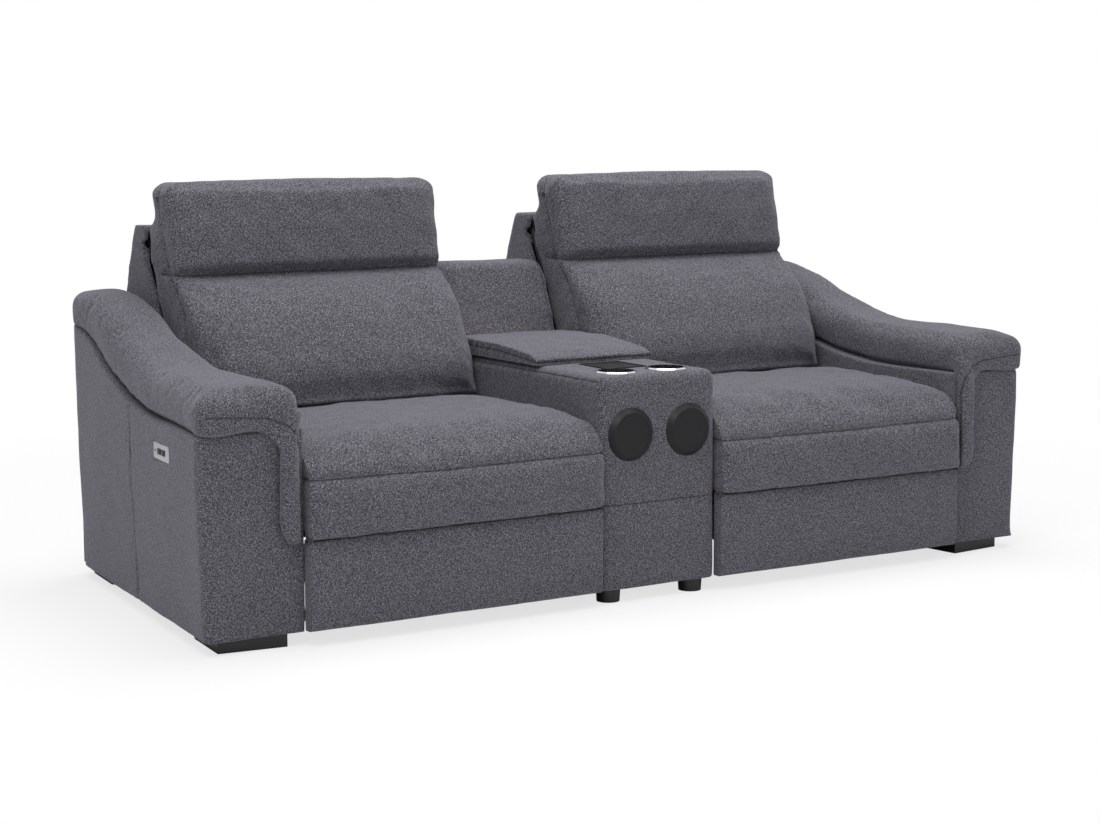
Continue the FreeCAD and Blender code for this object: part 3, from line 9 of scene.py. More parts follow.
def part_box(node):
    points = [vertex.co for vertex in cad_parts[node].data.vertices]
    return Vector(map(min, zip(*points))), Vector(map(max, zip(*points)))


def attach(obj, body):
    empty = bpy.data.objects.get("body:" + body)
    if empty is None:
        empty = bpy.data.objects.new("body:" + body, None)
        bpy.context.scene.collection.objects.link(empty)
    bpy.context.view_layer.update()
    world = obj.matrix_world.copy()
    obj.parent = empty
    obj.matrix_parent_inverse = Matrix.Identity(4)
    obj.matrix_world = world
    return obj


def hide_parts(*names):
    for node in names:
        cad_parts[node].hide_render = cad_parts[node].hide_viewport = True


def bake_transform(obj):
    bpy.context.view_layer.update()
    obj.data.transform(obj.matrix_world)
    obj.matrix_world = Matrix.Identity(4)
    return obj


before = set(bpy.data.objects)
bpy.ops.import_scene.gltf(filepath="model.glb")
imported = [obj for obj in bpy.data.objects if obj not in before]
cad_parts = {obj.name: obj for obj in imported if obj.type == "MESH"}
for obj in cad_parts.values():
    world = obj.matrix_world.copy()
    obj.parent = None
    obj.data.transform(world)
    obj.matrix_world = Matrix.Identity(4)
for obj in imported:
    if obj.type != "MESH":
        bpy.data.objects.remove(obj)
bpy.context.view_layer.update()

bl_info = {
    "name": "Reclining sofa with centre console",
    "version": (1, 0, 0),
    "blender": (4, 5, 0),
    "location": "3D View > Sidebar > Sofa",
    "description": "Dresses the frame of a two-seat reclining sofa with padding, fabric and trim",
    "category": "Object",
}

SIDES = ("right", "left")
DEPTH_SHIFT = 0.520  # from the console's front face to the middle of the sofa
CLOTH_FRAMES = 20  # of simulation, by which time a cover has filled out
SIDE_REACH = 0.0024  # of a cover into the gap of 3 mm beside a seat or a footrest
SEAM_MARKS = 3  # most seams that one cover has
OFF_SEAM = 0.03  # distance marked where a seam isn't sewn, well beyond its shadow


# ---------------------------------------------------------------- settings


class SofaSettings(bpy.types.PropertyGroup):
    """Sizes and colours that a user would change."""

    fabric_dark: bpy.props.StringProperty(
        name="Dark yarn", description="sRGB hex colour of the darkest yarns", default="#2c2b2f"
    )
    fabric_mid: bpy.props.StringProperty(
        name="Ground yarn", description="sRGB hex colour of most of the yarns", default="#4e4d53"
    )
    fabric_light: bpy.props.StringProperty(
        name="Light yarn", description="sRGB hex colour of the palest flecks", default="#8b8a91"
    )
    thread_pitch: bpy.props.FloatProperty(
        name="Thread pitch", description="Distance between two threads of the weave",
        default=0.0017, unit="LENGTH",
    )
    fleck: bpy.props.FloatProperty(
        name="Fleck", description="Width of a pale or dark fleck in the yarn",
        default=0.0018, unit="LENGTH",
    )
    seam_width: bpy.props.FloatProperty(
        name="Seam width", description="Width of the groove where two panels are sewn together",
        default=0.006, unit="LENGTH",
    )
    seam_depth: bpy.props.FloatProperty(
        name="Seam depth", description="Depth of that groove",
        default=0.004, unit="LENGTH",
    )
    seat_crown: bpy.props.FloatProperty(
        name="Seat crown", description="How far the middle of a seat stands above its sides",
        default=0.010, unit="LENGTH",
    )
    belly: bpy.props.FloatProperty(
        name="Back belly", description="How far the middle of a back stands before its sides",
        default=0.058, unit="LENGTH",
    )


def settings():
    return bpy.context.scene.sofa


# ---------------------------------------------------------------- meshes


def points(obj):
    """The mesh's points as rows of x, y, z."""
    flat = np.empty(len(obj.data.vertices) * 3)
    obj.data.vertices.foreach_get("co", flat)
    return flat.reshape(-1, 3)


def normals(obj):
    """The mesh's normals at its points, in the same rows."""
    flat = np.empty(len(obj.data.vertices) * 3)
    obj.data.vertex_normals.foreach_get("vector", flat)
    return flat.reshape(-1, 3)


def move_points(obj, co):
    obj.data.vertices.foreach_set("co", np.ascontiguousarray(co, dtype=np.float32).ravel())
    obj.data.update()


def new_object(name, bm):
    mesh = bpy.data.meshes.new(name)
    bm.to_mesh(mesh)
    bm.free()
    obj = bpy.data.objects.new(name, mesh)
    bpy.context.scene.collection.objects.link(obj)
    return obj


def profile_form(outline, start, end, edge):
    """A solid with that outline in the plane of Y and Z, from one X to another, with its two end
    faces rounded over by edge."""
    bm = bmesh.new()
    corners = [bm.verts.new((start, y, z)) for y, z in outline]
    face = bm.faces.new(corners)
    grown = bmesh.ops.extrude_face_region(bm, geom=[face])
    moved = [item for item in grown["geom"] if isinstance(item, bmesh.types.BMVert)]
    bmesh.ops.translate(bm, verts=moved, vec=(end - start, 0, 0))
    bmesh.ops.recalc_face_normals(bm, faces=bm.faces[:])
    ends = [e for e in bm.edges if abs(e.verts[0].co.x - e.verts[1].co.x) < 1e-6]
    bmesh.ops.bevel(
        bm, geom=ends, offset=edge, segments=4, profile=0.5, affect="EDGES", material=-1
    )
    return bm


def cad_form(*nodes):
    """A merged copy of the CAD nodes' own meshes."""
    bm = bmesh.new()
    for node in nodes:
        bm.from_mesh(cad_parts[node].data)
    bmesh.ops.remove_doubles(bm, verts=bm.verts[:], dist=1e-5)
    return bm


def apply_modifier(obj, kind, **options):
    made = obj.modifiers.new(kind.title(), kind)
    for key, value in options.items():
        setattr(made, key, value)
    graph = bpy.context.evaluated_depsgraph_get()
    mesh = bpy.data.meshes.new_from_object(obj.evaluated_get(graph))
    obj.modifiers.clear()
    old = obj.data
    obj.data = mesh
    bpy.data.meshes.remove(old)
    mesh.name = obj.name


def skin(obj, voxel, rounds=6):
    """One even skin over the whole form, with its edges eased."""
    apply_modifier(obj, "REMESH", mode="VOXEL", voxel_size=voxel, use_smooth_shade=True)
    apply_modifier(obj, "SMOOTH", factor=0.5, iterations=rounds)


def inflate(obj, reach, pressure=4.0):
    """Fills the cover as stuffing does. No point moves further than reach."""
    start = points(obj)
    cloth = obj.modifiers.new("Cloth", "CLOTH")
    cloth.settings.quality = 3
    cloth.settings.mass = 0.3
    cloth.settings.use_pressure = True
    cloth.settings.uniform_pressure_force = pressure
    cloth.settings.effector_weights.gravity = 0
    cloth.point_cache.frame_start = 1
    cloth.point_cache.frame_end = CLOTH_FRAMES
    scene = bpy.context.scene
    for number in range(1, CLOTH_FRAMES + 1):
        scene.frame_set(number)
    graph = bpy.context.evaluated_depsgraph_get()
    swollen = obj.evaluated_get(graph).to_mesh()
    flat = np.empty(len(swollen.vertices) * 3)
    swollen.vertices.foreach_get("co", flat)
    step = flat.reshape(-1, 3) - start
    obj.evaluated_get(graph).to_mesh_clear()
    obj.modifiers.clear()
    scene.frame_set(1)
    length = np.linalg.norm(step, axis=1)
    share = reach * np.tanh(length / reach) / np.maximum(length, 1e-9)
    move_points(obj, start + step * share[:, None])


def shrink(obj, distance):
    """Draws the skin in, to leave room for its filling."""
    move_points(obj, points(obj) - normals(obj) * distance)


def ripple(co, length, seed, count=6):
    """Gentle uneven swell with that wavelength, between about -1 and 1."""
    chance = np.random.default_rng(seed)
    total = np.zeros(len(co))
    for _ in range(count):
        way = chance.normal(size=3)
        way /= np.linalg.norm(way)
        stretch = chance.uniform(0.7, 1.5)
        total += np.sin(co @ way * 2 * math.pi / (length * stretch) + chance.uniform(0, 6.3))
    return total / math.sqrt(count)


def fade(distance, width):
    """1 on a line and near 0 beyond twice that width."""
    return np.exp(-((distance / width) ** 2))


def step_up(value, low, high):
    """0 below low, 1 above high and smooth between."""
    t = np.clip((value - low) / (high - low), 0, 1)
    return t * t * (3 - 2 * t)


def distance_to_line(a, b, line):
    """Signed distance of each point (a, b) to a line of corners, positive on its left."""
    best = np.full(len(a), 1e9)
    signed = np.zeros(len(a))
    for p, q in zip(line, line[1:]):
        length = math.dist(p, q)
        da, db = (q[0] - p[0]) / length, (q[1] - p[1]) / length
        t = np.clip((a - p[0]) * da + (b - p[1]) * db, 0, length)
        off_a, off_b = a - p[0] - t * da, b - p[1] - t * db
        far = np.hypot(off_a, off_b)
        nearer = far < best
        best = np.where(nearer, far, best)
        signed = np.where(nearer, np.where(da * off_b - db * off_a >= 0, far, -far), signed)
    return signed


def sew(obj, seams, depth=None):
    """Presses seams into the skin and marks them for the fabric, which paints shade along them and
    bumps a groove there. Each mark is a signed distance from the seam with a mask of where it is
    sewn. Short puckers run off each seam."""
    depth = settings().seam_depth if depth is None else depth
    width = settings().seam_width
    co, way = points(obj), normals(obj)
    pucker, pucker_length, pucker_reach = 0.0011, 0.026, 0.028
    push = np.zeros(len(co))
    for signed, mask in seams:
        push -= depth * fade(signed, width) * mask
        push -= depth * 0.45 * fade(signed, width * 3.2) * mask
        push += pucker * ripple(co, pucker_length, 5) * fade(signed, pucker_reach) * mask
    move_points(obj, co + way * push[:, None])
    marks = []
    for signed, mask in seams:
        beyond = np.where(signed < 0, -OFF_SEAM, OFF_SEAM)
        marks.append(np.where(mask > 0.5, signed, beyond))
    mark(obj, marks)


def mark(obj, marks=()):
    """Writes how far each point is from the first, second and third seam, plus one metre, so that
    a value of one is on the seam."""
    for index in range(SEAM_MARKS):
        layer = obj.data.attributes.new(f"seam_{index + 1}", "FLOAT", "POINT")
        far = np.full(len(obj.data.vertices), 0.5)
        value = marks[index] if index < len(marks) else far
        layer.data.foreach_set("value", (1.0 + value).astype(np.float32))


def soften(obj, seed, tall=0.0022, wide=0.0030, share=1.0):
    """Uneven swell of a hand-filled cover: tall is its short lumps, wide its long ones, and share
    how much of them each point takes."""
    co = points(obj)
    lump, roll = 0.075, 0.24
    swell = tall * 0.6 * ripple(co, lump, seed) + wide * ripple(co, roll, seed + 1)
    move_points(obj, co + normals(obj) * (swell * share)[:, None])


def fit(obj, low, high):
    """Stretches the form to fill a box."""
    co = points(obj)
    start, end = co.min(axis=0), co.max(axis=0)
    low, high = np.array(low), np.array(high)
    move_points(obj, low + (co - start) * (high - low) / (end - start))


def hold_between(obj, low, high):
    """Flattens the skin where it meets its neighbours."""
    co = points(obj)
    move_points(obj, np.clip(co, np.array(low), np.array(high)))


def sharpen(values, bound, reach, share=1.0):
    """Draws the coordinates nearer than reach to a bound towards it, which sharpens a rounded
    edge there."""
    gap = np.abs(bound - values)
    moved = np.where(gap < reach, gap - gap**2 / reach, 0.0)
    return values + np.sign(bound - values) * moved * share


def mirrored(obj, name):
    """The left-hand twin of a right-hand piece."""
    mesh = obj.data.copy()
    mesh.name = name
    mesh.transform(Matrix.Scale(-1, 4, (1, 0, 0)))
    mesh.flip_normals()
    twin = bpy.data.objects.new(name, mesh)
    bpy.context.scene.collection.objects.link(twin)
    return twin


def dress(obj, material):
    """Gives the piece its one material and smooth shading."""
    obj.data.materials.clear()
    obj.data.materials.append(material)
    obj.data.polygons.foreach_set("use_smooth", [True] * len(obj.data.polygons))
    obj.data.update()


def both_sides(right, name, *nodes):
    """The right-hand piece and its mirrored twin, each with the nodes that it stands for."""
    right.name = f"right_{name}"
    right.data.name = right.name
    left = mirrored(right, f"left_{name}")
    made = []
    for side, obj in zip(SIDES, (right, left)):
        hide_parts(*[f"{side}_{node}" for node in nodes])
        made.append((side, obj))
    return made


# ---------------------------------------------------------------- materials


def colour(text):
    """Linear colour from an sRGB hex value."""
    parts = [int(text[i : i + 2], 16) / 255 for i in (1, 3, 5)]
    linear = [c / 12.92 if c <= 0.04045 else ((c + 0.055) / 1.055) ** 2.4 for c in parts]
    return (*linear, 1.0)


def add(tree, kind, inputs=None, **options):
    """Adds a node with its settings, its values and its links. A node given as a value is linked
    by its first output."""
    made = tree.nodes.new(kind)
    for key, value in options.items():
        setattr(made, key, value)
    for key, value in (inputs or {}).items():
        socket = made.inputs[key]
        if isinstance(value, bpy.types.Node):
            value = value.outputs[0]
        if isinstance(value, bpy.types.NodeSocket):
            tree.links.new(value, socket)
        else:
            socket.default_value = value
    return made


def new_material(name):
    """The material of that name, with its tree and shader if it has still to be filled in."""
    found = bpy.data.materials.get(name)
    if found:
        return found, None, None
    made = bpy.data.materials.new(name)
    made.use_nodes = True
    tree = made.node_tree
    tree.nodes.clear()
    shader = add(tree, "ShaderNodeBsdfPrincipled")
    add(tree, "ShaderNodeOutputMaterial", {"Surface": shader.outputs[0]})
    return made, tree, shader


def cloth_plane(tree):
    """The two coordinates that lie in the cloth, chosen by which way its surface faces."""
    place = add(tree, "ShaderNodeTexCoord").outputs
    at = add(tree, "ShaderNodeSeparateXYZ", {0: place["Object"]}).outputs
    face = add(tree, "ShaderNodeSeparateXYZ", {0: place["Normal"]}).outputs
    across, deep, up = [
        add(tree, "ShaderNodeMath", {0: face[axis]}, operation="ABSOLUTE") for axis in range(3)
    ]
    flat = add(tree, "ShaderNodeMath", {0: across, 1: deep}, operation="MAXIMUM")
    level = add(tree, "ShaderNodeMath", {0: up, 1: flat}, operation="GREATER_THAN")
    other = add(tree, "ShaderNodeMath", {0: up, 1: deep}, operation="MAXIMUM")
    sideways = add(tree, "ShaderNodeMath", {0: across, 1: other}, operation="GREATER_THAN")
    first = add(tree, "ShaderNodeMix", {0: sideways, 2: at[0], 3: at[1]})
    second = add(tree, "ShaderNodeMix", {0: level, 2: at[2], 3: at[1]})
    return place["Object"], first, second


def heathered_weave():
    """Heathered polyester weave: yarns spun from dark and pale fibres, so the eye sees a dark grey
    cloth with short pale flecks, matt, with a faint halo of fibres at its edges."""
    made, tree, shader = new_material("Heathered polyester weave")
    if tree is None:
        return made
    place, first, second = cloth_plane(tree)
    # Threads are rounded across, and pass over and under each other cell by cell.
    rounded, cells = [], []
    for coordinate in (first, second):
        count = {0: coordinate, 1: 1 / settings().thread_pitch}
        thread = add(tree, "ShaderNodeMath", count, operation="MULTIPLY")
        turn = add(tree, "ShaderNodeMath", {0: thread, 1: math.pi}, operation="MULTIPLY")
        wave = add(tree, "ShaderNodeMath", {0: turn}, operation="SINE")
        rounded.append(add(tree, "ShaderNodeMath", {0: wave}, operation="ABSOLUTE"))
        cells.append(add(tree, "ShaderNodeMath", {0: thread}, operation="FLOOR"))
    cell = add(tree, "ShaderNodeMath", {0: cells[0], 1: cells[1]}, operation="ADD")
    over = add(tree, "ShaderNodeMath", {0: cell, 1: 1.0}, operation="PINGPONG")
    height = add(tree, "ShaderNodeMix", {0: over, 2: rounded[0], 3: rounded[1]})
    # Each yarn is spun thick and thin from dark and pale fibres, so its shade changes along it.
    # The flecks are drawn 6 by 1.8 mm, coarser than the real 4 by 1, so that they show.
    along = 0.32
    shades = []
    for stretch in ((along, 1.0), (1.0, along)):
        ends = [
            add(tree, "ShaderNodeMath", {0: coordinate, 1: share}, operation="MULTIPLY")
            for coordinate, share in zip((first, second), stretch)
        ]
        at = add(tree, "ShaderNodeCombineXYZ", {0: ends[0], 1: ends[1]})
        look = {"Vector": at, "Scale": 1 / settings().fleck, "Detail": 2.0, "Roughness": 0.6}
        shades.append(add(tree, "ShaderNodeTexNoise", look, noise_dimensions="2D"))
    slubs = add(tree, "ShaderNodeMix", {0: over, 2: shades[0], 3: shades[1]})
    spot = add(tree, "ShaderNodeCombineXYZ", {0: cells[0], 1: cells[1]})
    yarn = add(tree, "ShaderNodeTexWhiteNoise", {0: spot}, noise_dimensions="2D")
    cloudy = add(tree, "ShaderNodeTexNoise", {"Vector": place, "Scale": 9.0, "Detail": 1.0})
    slubby = add(tree, "ShaderNodeMath", {0: slubs, 1: 1.6}, operation="MULTIPLY")
    fine = add(tree, "ShaderNodeMath", {0: yarn, 1: 0.46, 2: slubby}, operation="MULTIPLY_ADD")
    broad = add(tree, "ShaderNodeMath", {0: cloudy, 1: 0.04, 2: -0.575}, operation="MULTIPLY_ADD")
    shade = add(tree, "ShaderNodeMath", {0: fine, 1: broad}, operation="ADD")
    ramp = add(tree, "ShaderNodeValToRGB", {0: shade})
    stops = ramp.color_ramp.elements
    stops[0].position, stops[0].color = 0.24, colour(settings().fabric_dark)
    stops[1].position, stops[1].color = 0.82, colour(settings().fabric_light)
    middle = stops.new(0.50)
    middle.color = colour(settings().fabric_mid)
    # Painted shade along each seam: the cloth's colour is darkest within 0.6 mm of its line, and
    # this painted shadow ends 3.4 mm from it.
    nearest = None
    for index in range(SEAM_MARKS):
        value = add(tree, "ShaderNodeAttribute", attribute_name=f"seam_{index + 1}").outputs["Fac"]
        signed = add(tree, "ShaderNodeMath", {0: value, 1: 1.0}, operation="SUBTRACT")
        far = add(tree, "ShaderNodeMath", {0: signed}, operation="ABSOLUTE")
        if nearest is None:
            nearest = far
        else:
            nearest = add(tree, "ShaderNodeMath", {0: nearest, 1: far}, operation="MINIMUM")
    span = {0: nearest, 1: 0.0006, 2: 0.0034, 3: 0.45, 4: 1.0}
    line = add(tree, "ShaderNodeMapRange", span, interpolation_type="SMOOTHSTEP")
    grey = add(tree, "ShaderNodeCombineXYZ", {0: line, 1: line, 2: line})
    # The seams' painted shade is multiplied into the cloth's colour here.
    sewn = add(
        tree,
        "ShaderNodeMix",
        {0: 1.0, 6: ramp, 7: grey},
        data_type="RGBA",
        blend_type="MULTIPLY",
    )
    tree.links.new(sewn.outputs[2], shader.inputs["Base Color"])
    bump = add(tree, "ShaderNodeBump", {"Height": height, "Strength": 0.35, "Distance": 0.0005})
    groove = {"Height": line, "Strength": 0.8, "Distance": 0.003, "Normal": bump}
    ridge = add(tree, "ShaderNodeBump", groove)
    tree.links.new(ridge.outputs[0], shader.inputs["Normal"])
    shader.inputs["Roughness"].default_value = 0.92
    shader.inputs["Specular IOR Level"].default_value = 0.25
    shader.inputs["Sheen Weight"].default_value = 0.35
    shader.inputs["Sheen Roughness"].default_value = 0.5
    shader.inputs["Sheen Tint"].default_value = colour("#c9c8d2")
    return made


def grained(name, hex_colour, roughness, grain, depth, metallic=0.0, coat=0.0, specular=0.5):
    """A solid material whose fine grain of that size shows as uneven gloss and bump."""
    made, tree, shader = new_material(name)
    if tree is None:
        return made
    place = add(tree, "ShaderNodeTexCoord").outputs["Object"]
    fine = add(
        tree, "ShaderNodeTexNoise", {"Vector": place, "Scale": 1 / grain, "Detail": 3.0}
    )
    broad = add(tree, "ShaderNodeTexNoise", {"Vector": place, "Scale": 9.0, "Detail": 2.0})
    base = colour(hex_colour)
    darker, paler = [
        tuple(min(part * share, 1) for part in base[:3]) + (1.0,) for share in (0.86, 1.12)
    ]
    tone = add(tree, "ShaderNodeMix", {0: broad, 6: darker, 7: paler}, data_type="RGBA")
    tree.links.new(tone.outputs[2], shader.inputs["Base Color"])
    gloss = add(
        tree, "ShaderNodeMapRange", {0: fine, 3: roughness * 0.85, 4: roughness * 1.15}
    )
    tree.links.new(gloss.outputs[0], shader.inputs["Roughness"])
    bump = add(tree, "ShaderNodeBump", {"Height": fine, "Strength": 0.5, "Distance": depth})
    tree.links.new(bump.outputs[0], shader.inputs["Normal"])
    shader.inputs["Metallic"].default_value = metallic
    shader.inputs["Coat Weight"].default_value = coat
    shader.inputs["Specular IOR Level"].default_value = specular
    return made


def moulded_abs():
    """Moulded ABS, spark-eroded finish: a fine even grain that breaks up highlights."""
    return grained("Moulded black ABS", "#0d0d0f", 0.40, 0.0009, 0.00005, specular=0.3)


def chromed_steel():
    """Pressed steel with bright chrome plate: nearly a mirror, with faint polishing marks."""
    return grained("Chrome-plated steel", "#d9dadd", 0.10, 0.004, 0.00001, metallic=1.0)


def satin_chrome():
    """Die-cast plate with satin chrome: bright grey, its highlights a little spread."""
    return grained("Satin chrome plate", "#b4b5b9", 0.28, 0.002, 0.00002, metallic=1.0)


def zinc_steel():
    """Zinc-plated pressed steel: pale blue-grey, with cloudy crystals."""
    return grained("Zinc-plated steel", "#a9adb1", 0.36, 0.006, 0.00003, metallic=1.0)


def black_steel():
    """Powder-coated steel tube: satin black with a slight orange peel."""
    return grained("Powder-coated steel", "#1e1f21", 0.46, 0.0022, 0.00008, coat=0.15)


def spring_steel():
    """Drawn spring wire: dark oiled steel."""
    return grained("Spring steel wire", "#6d6a66", 0.34, 0.0015, 0.00003, metallic=1.0)


def polypropylene():
    """Moulded polypropylene: waxy black with a soft sheen."""
    return grained("Moulded polypropylene", "#1b1b1d", 0.55, 0.0014, 0.00006)


def feet_plastic():
    """Injection-moulded nylon: satin black with a fine grain."""
    return grained("Moulded black nylon", "#101012", 0.38, 0.0012, 0.00005)


def grille_cloth():
    """Knitted speaker cloth: matt black with a fine regular mesh."""
    made, tree, shader = new_material("Speaker grille cloth")
    if tree is None:
        return made
    place = add(tree, "ShaderNodeTexCoord").outputs["Object"]
    at = add(tree, "ShaderNodeSeparateXYZ", {0: place}).outputs
    hole_spacing = 0.0015
    waves = []
    for coordinate in (at[0], at[2]):
        turns = {0: coordinate, 1: 2 * math.pi / hole_spacing}
        turn = add(tree, "ShaderNodeMath", turns, operation="MULTIPLY")
        waves.append(add(tree, "ShaderNodeMath", {0: turn}, operation="SINE"))
    mesh = add(tree, "ShaderNodeMath", {0: waves[0], 1: waves[1]}, operation="MULTIPLY")
    share = add(tree, "ShaderNodeMapRange", {0: mesh, 1: -1.0})
    tone = add(
        tree,
        "ShaderNodeMix",
        {0: share, 6: colour("#0c0c0e"), 7: colour("#2b2b2f")},
        data_type="RGBA",
    )
    tree.links.new(tone.outputs[2], shader.inputs["Base Color"])
    bump = add(tree, "ShaderNodeBump", {"Height": mesh, "Strength": 0.4, "Distance": 0.0004})
    tree.links.new(bump.outputs[0], shader.inputs["Normal"])
    shader.inputs["Roughness"].default_value = 0.75
    return made


def birch_ply():
    """Birch plywood: pale rotary-cut veneer with long soft grain, sanded and left bare."""
    made, tree, shader = new_material("Birch plywood")
    if tree is None:
        return made
    place = add(tree, "ShaderNodeTexCoord").outputs["Object"]
    drawn_out = (3.0, 40.0, 40.0)
    turned = add(tree, "ShaderNodeMapping", {"Vector": place, "Scale": drawn_out})
    look = {"Vector": turned, "Scale": 3.0, "Detail": 5.0, "Distortion": 0.6}
    grain = add(tree, "ShaderNodeTexNoise", look)
    ramp = add(tree, "ShaderNodeValToRGB", {0: grain})
    stops = ramp.color_ramp.elements
    stops[0].position, stops[0].color = 0.32, colour("#b98f62")
    stops[1].position, stops[1].color = 0.70, colour("#dcbf94")
    tree.links.new(ramp.outputs[0], shader.inputs["Base Color"])
    bump = add(tree, "ShaderNodeBump", {"Height": grain, "Strength": 0.3, "Distance": 0.0003})
    tree.links.new(bump.outputs[0], shader.inputs["Normal"])
    shader.inputs["Roughness"].default_value = 0.62
    return made


# ---------------------------------------------------------------- operators


class SOFA_OT_stage(bpy.types.Operator):
    """Floor, lamps and camera"""

    bl_idname = "sofa.stage"
    bl_label = "Stage"

    def execute(self, context):
        scene = context.scene
        scene.view_settings.view_transform = "Standard"
        world = bpy.data.worlds.new("Studio")
        scene.world = world
        world.use_nodes = True
        tree = world.node_tree
        tree.nodes.clear()
        path = add(tree, "ShaderNodeLightPath").outputs
        # What is looked at, mirrored or seen through is white. Only the light it sheds is dim.
        bent = {0: path["Is Glossy Ray"], 1: path["Is Transmission Ray"]}
        bent = add(tree, "ShaderNodeMath", bent, operation="ADD")
        either = add(tree, "ShaderNodeMath", {0: path["Is Camera Ray"], 1: bent}, operation="ADD")
        seen = add(tree, "ShaderNodeMath", {0: 1.0, 1: either}, operation="MINIMUM")
        plain = add(tree, "ShaderNodeBackground", {0: colour("#ffffff"), 1: 1.0})
        dim = add(tree, "ShaderNodeBackground", {0: colour("#f6f6ff"), 1: 0.43})
        mixed = add(tree, "ShaderNodeMixShader", {0: seen, 1: dim, 2: plain})
        add(tree, "ShaderNodeOutputWorld", {0: mixed})

        bm = bmesh.new()
        bmesh.ops.create_grid(bm, x_segments=1, y_segments=1, size=30)
        floor = new_object("floor", bm)
        made, tree, shader = new_material("Pale painted floor")
        shader.inputs["Base Color"].default_value = colour("#f2f2f2")
        shader.inputs["Roughness"].default_value = 0.9
        path = add(tree, "ShaderNodeLightPath").outputs
        white = add(tree, "ShaderNodeEmission", {0: colour("#ffffff"), 1: 1.0})
        # Within 1.2 m of its middle the floor keeps its shadow, and from 3.4 m it is plain white.
        place = add(tree, "ShaderNodeTexCoord").outputs["Object"]
        far = add(tree, "ShaderNodeVectorMath", {0: place}, operation="LENGTH").outputs["Value"]
        span = {0: far, 1: 1.2, 2: 3.4, 3: 0.72, 4: 1.0}
        glow = add(tree, "ShaderNodeMapRange", span, interpolation_type="SMOOTHSTEP")
        share = {0: path["Is Camera Ray"], 1: glow}
        share = add(tree, "ShaderNodeMath", share, operation="MULTIPLY")
        mixed = add(tree, "ShaderNodeMixShader", {0: share, 1: shader, 2: white})
        output = [node for node in tree.nodes if node.type == "OUTPUT_MATERIAL"][0]
        tree.links.new(mixed.outputs[0], output.inputs[0])
        floor.data.materials.append(made)

        # Each lamp's name, place, width, watts and what it aims at.
        for name, place, size, power, aim in (
            ("key_lamp", (-2.4, -2.0, 4.2), 3.0, 84, (0, 0, 0.5)),
            ("top_lamp", (0.6, 0.3, 4.4), 3.4, 132, (0, 0, 0.4)),
            ("front_lamp", (0.5, -5.5, 1.8), 3.0, 20, (0, 0, 0.5)),
        ):
            lamp = bpy.data.lights.new(name, "AREA")
            lamp.shape = "DISK"
            lamp.size = size
            lamp.energy = power
            holder = bpy.data.objects.new(name, lamp)
            holder.location = place
            way = Vector(aim) - Vector(place)
            holder.rotation_euler = way.to_track_quat("-Z", "Y").to_euler()
            scene.collection.objects.link(holder)

        # The camera was solved from the photograph's own parallel edges.
        camera = bpy.data.cameras.new("camera")
        camera.lens = 75.70
        camera.sensor_width = 36.0
        holder = bpy.data.objects.new("camera", camera)
        holder.location = (-3.3051, -5.1924, 1.2305)
        holder.rotation_euler = (math.radians(82.443), math.radians(0.086), math.radians(-32.554))
        scene.collection.objects.link(holder)
        scene.camera = holder
        return {"FINISHED"}


class SOFA_OT_seats(bpy.types.Operator):
    """Seat cushions with a crowned top, a sewn edge and an upright front"""

    bl_idname = "sofa.seats"
    bl_label = "Seat cushions"

    def execute(self, context):
        low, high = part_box("right_seat_cushion")
        obj = new_object("right_seat_cover", cad_form("right_seat_cushion"))
        skin(obj, voxel=0.010, rounds=5)
        shrink(obj, distance=0.006)
        inflate(obj, reach=0.016)
        apply_modifier(obj, "SUBSURF", levels=1, render_levels=1)
        # It is stretched well past its box and then held near it, which makes its edges crisp. It
        # still reaches a little into the gaps beside and below the seat.
        spare = 0.016
        fit(obj, (low.x - spare, low.y, low.z - 0.026), (high.x + spare, high.y + 0.006, high.z))
        left, right = low.x - SIDE_REACH, high.x + SIDE_REACH
        foot = low.z - 0.003
        hold_between(obj, (left, low.y, foot), (right, high.y, high.z))
        co = points(obj)
        middle, half = (low.x + high.x) / 2, (high.x - low.x) / 2
        across = (co[:, 0] - middle) / half
        along = (co[:, 1] - low.y) / (high.y - low.y)
        # The top rises to its crown over the first quarter of its depth.
        crown = (1 - np.abs(across) ** 2.6) * step_up(co[:, 2], 0.40, 0.47)
        crown *= step_up(along, 0.0, 0.25)
        co[:, 2] += settings().seat_crown * (crown - 0.35)
        # The front swells below its seam.
        front_swell = 0.006
        front = (1 - np.abs(across) ** 3) * step_up(-co[:, 1], 0.46, 0.53)
        below = np.interp(co[:, 2], [0.25, 0.32, 0.36, 0.39, 0.42], [1, 1, 0.6, 0, 0])
        co[:, 1] -= front_swell * front * below
        low_part = step_up(0.34 - co[:, 2], 0.0, 0.05)
        for bound in (left, right):
            co[:, 0] = sharpen(co[:, 0], bound, 0.022, low_part)
        co[:, 2] = sharpen(co[:, 2], foot, 0.018)
        move_points(obj, co)
        soften(obj, seed=11, share=step_up(co[:, 2], 0.26, 0.36))
        hold_between(obj, (left, low.y - 0.010, foot), (right, high.y, high.z + 0.008))
        co = points(obj)
        seam_height = 0.388 - 0.003 * np.cos(across * 1.4)
        whole_front = step_up(-co[:, 1], -0.10, -0.06)
        lower_edge = step_up(-co[:, 1], 0.50, 0.53) * step_up(0.3 - co[:, 2], 0.0, 0.01)
        sew(obj, [(co[:, 2] - seam_height, whole_front), (co[:, 2] - foot, lower_edge)])
        for side, piece in both_sides(obj, "seat_cover", "seat_cushion"):
            dress(piece, heathered_weave())
            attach(piece, "base")
        return {"FINISHED"}


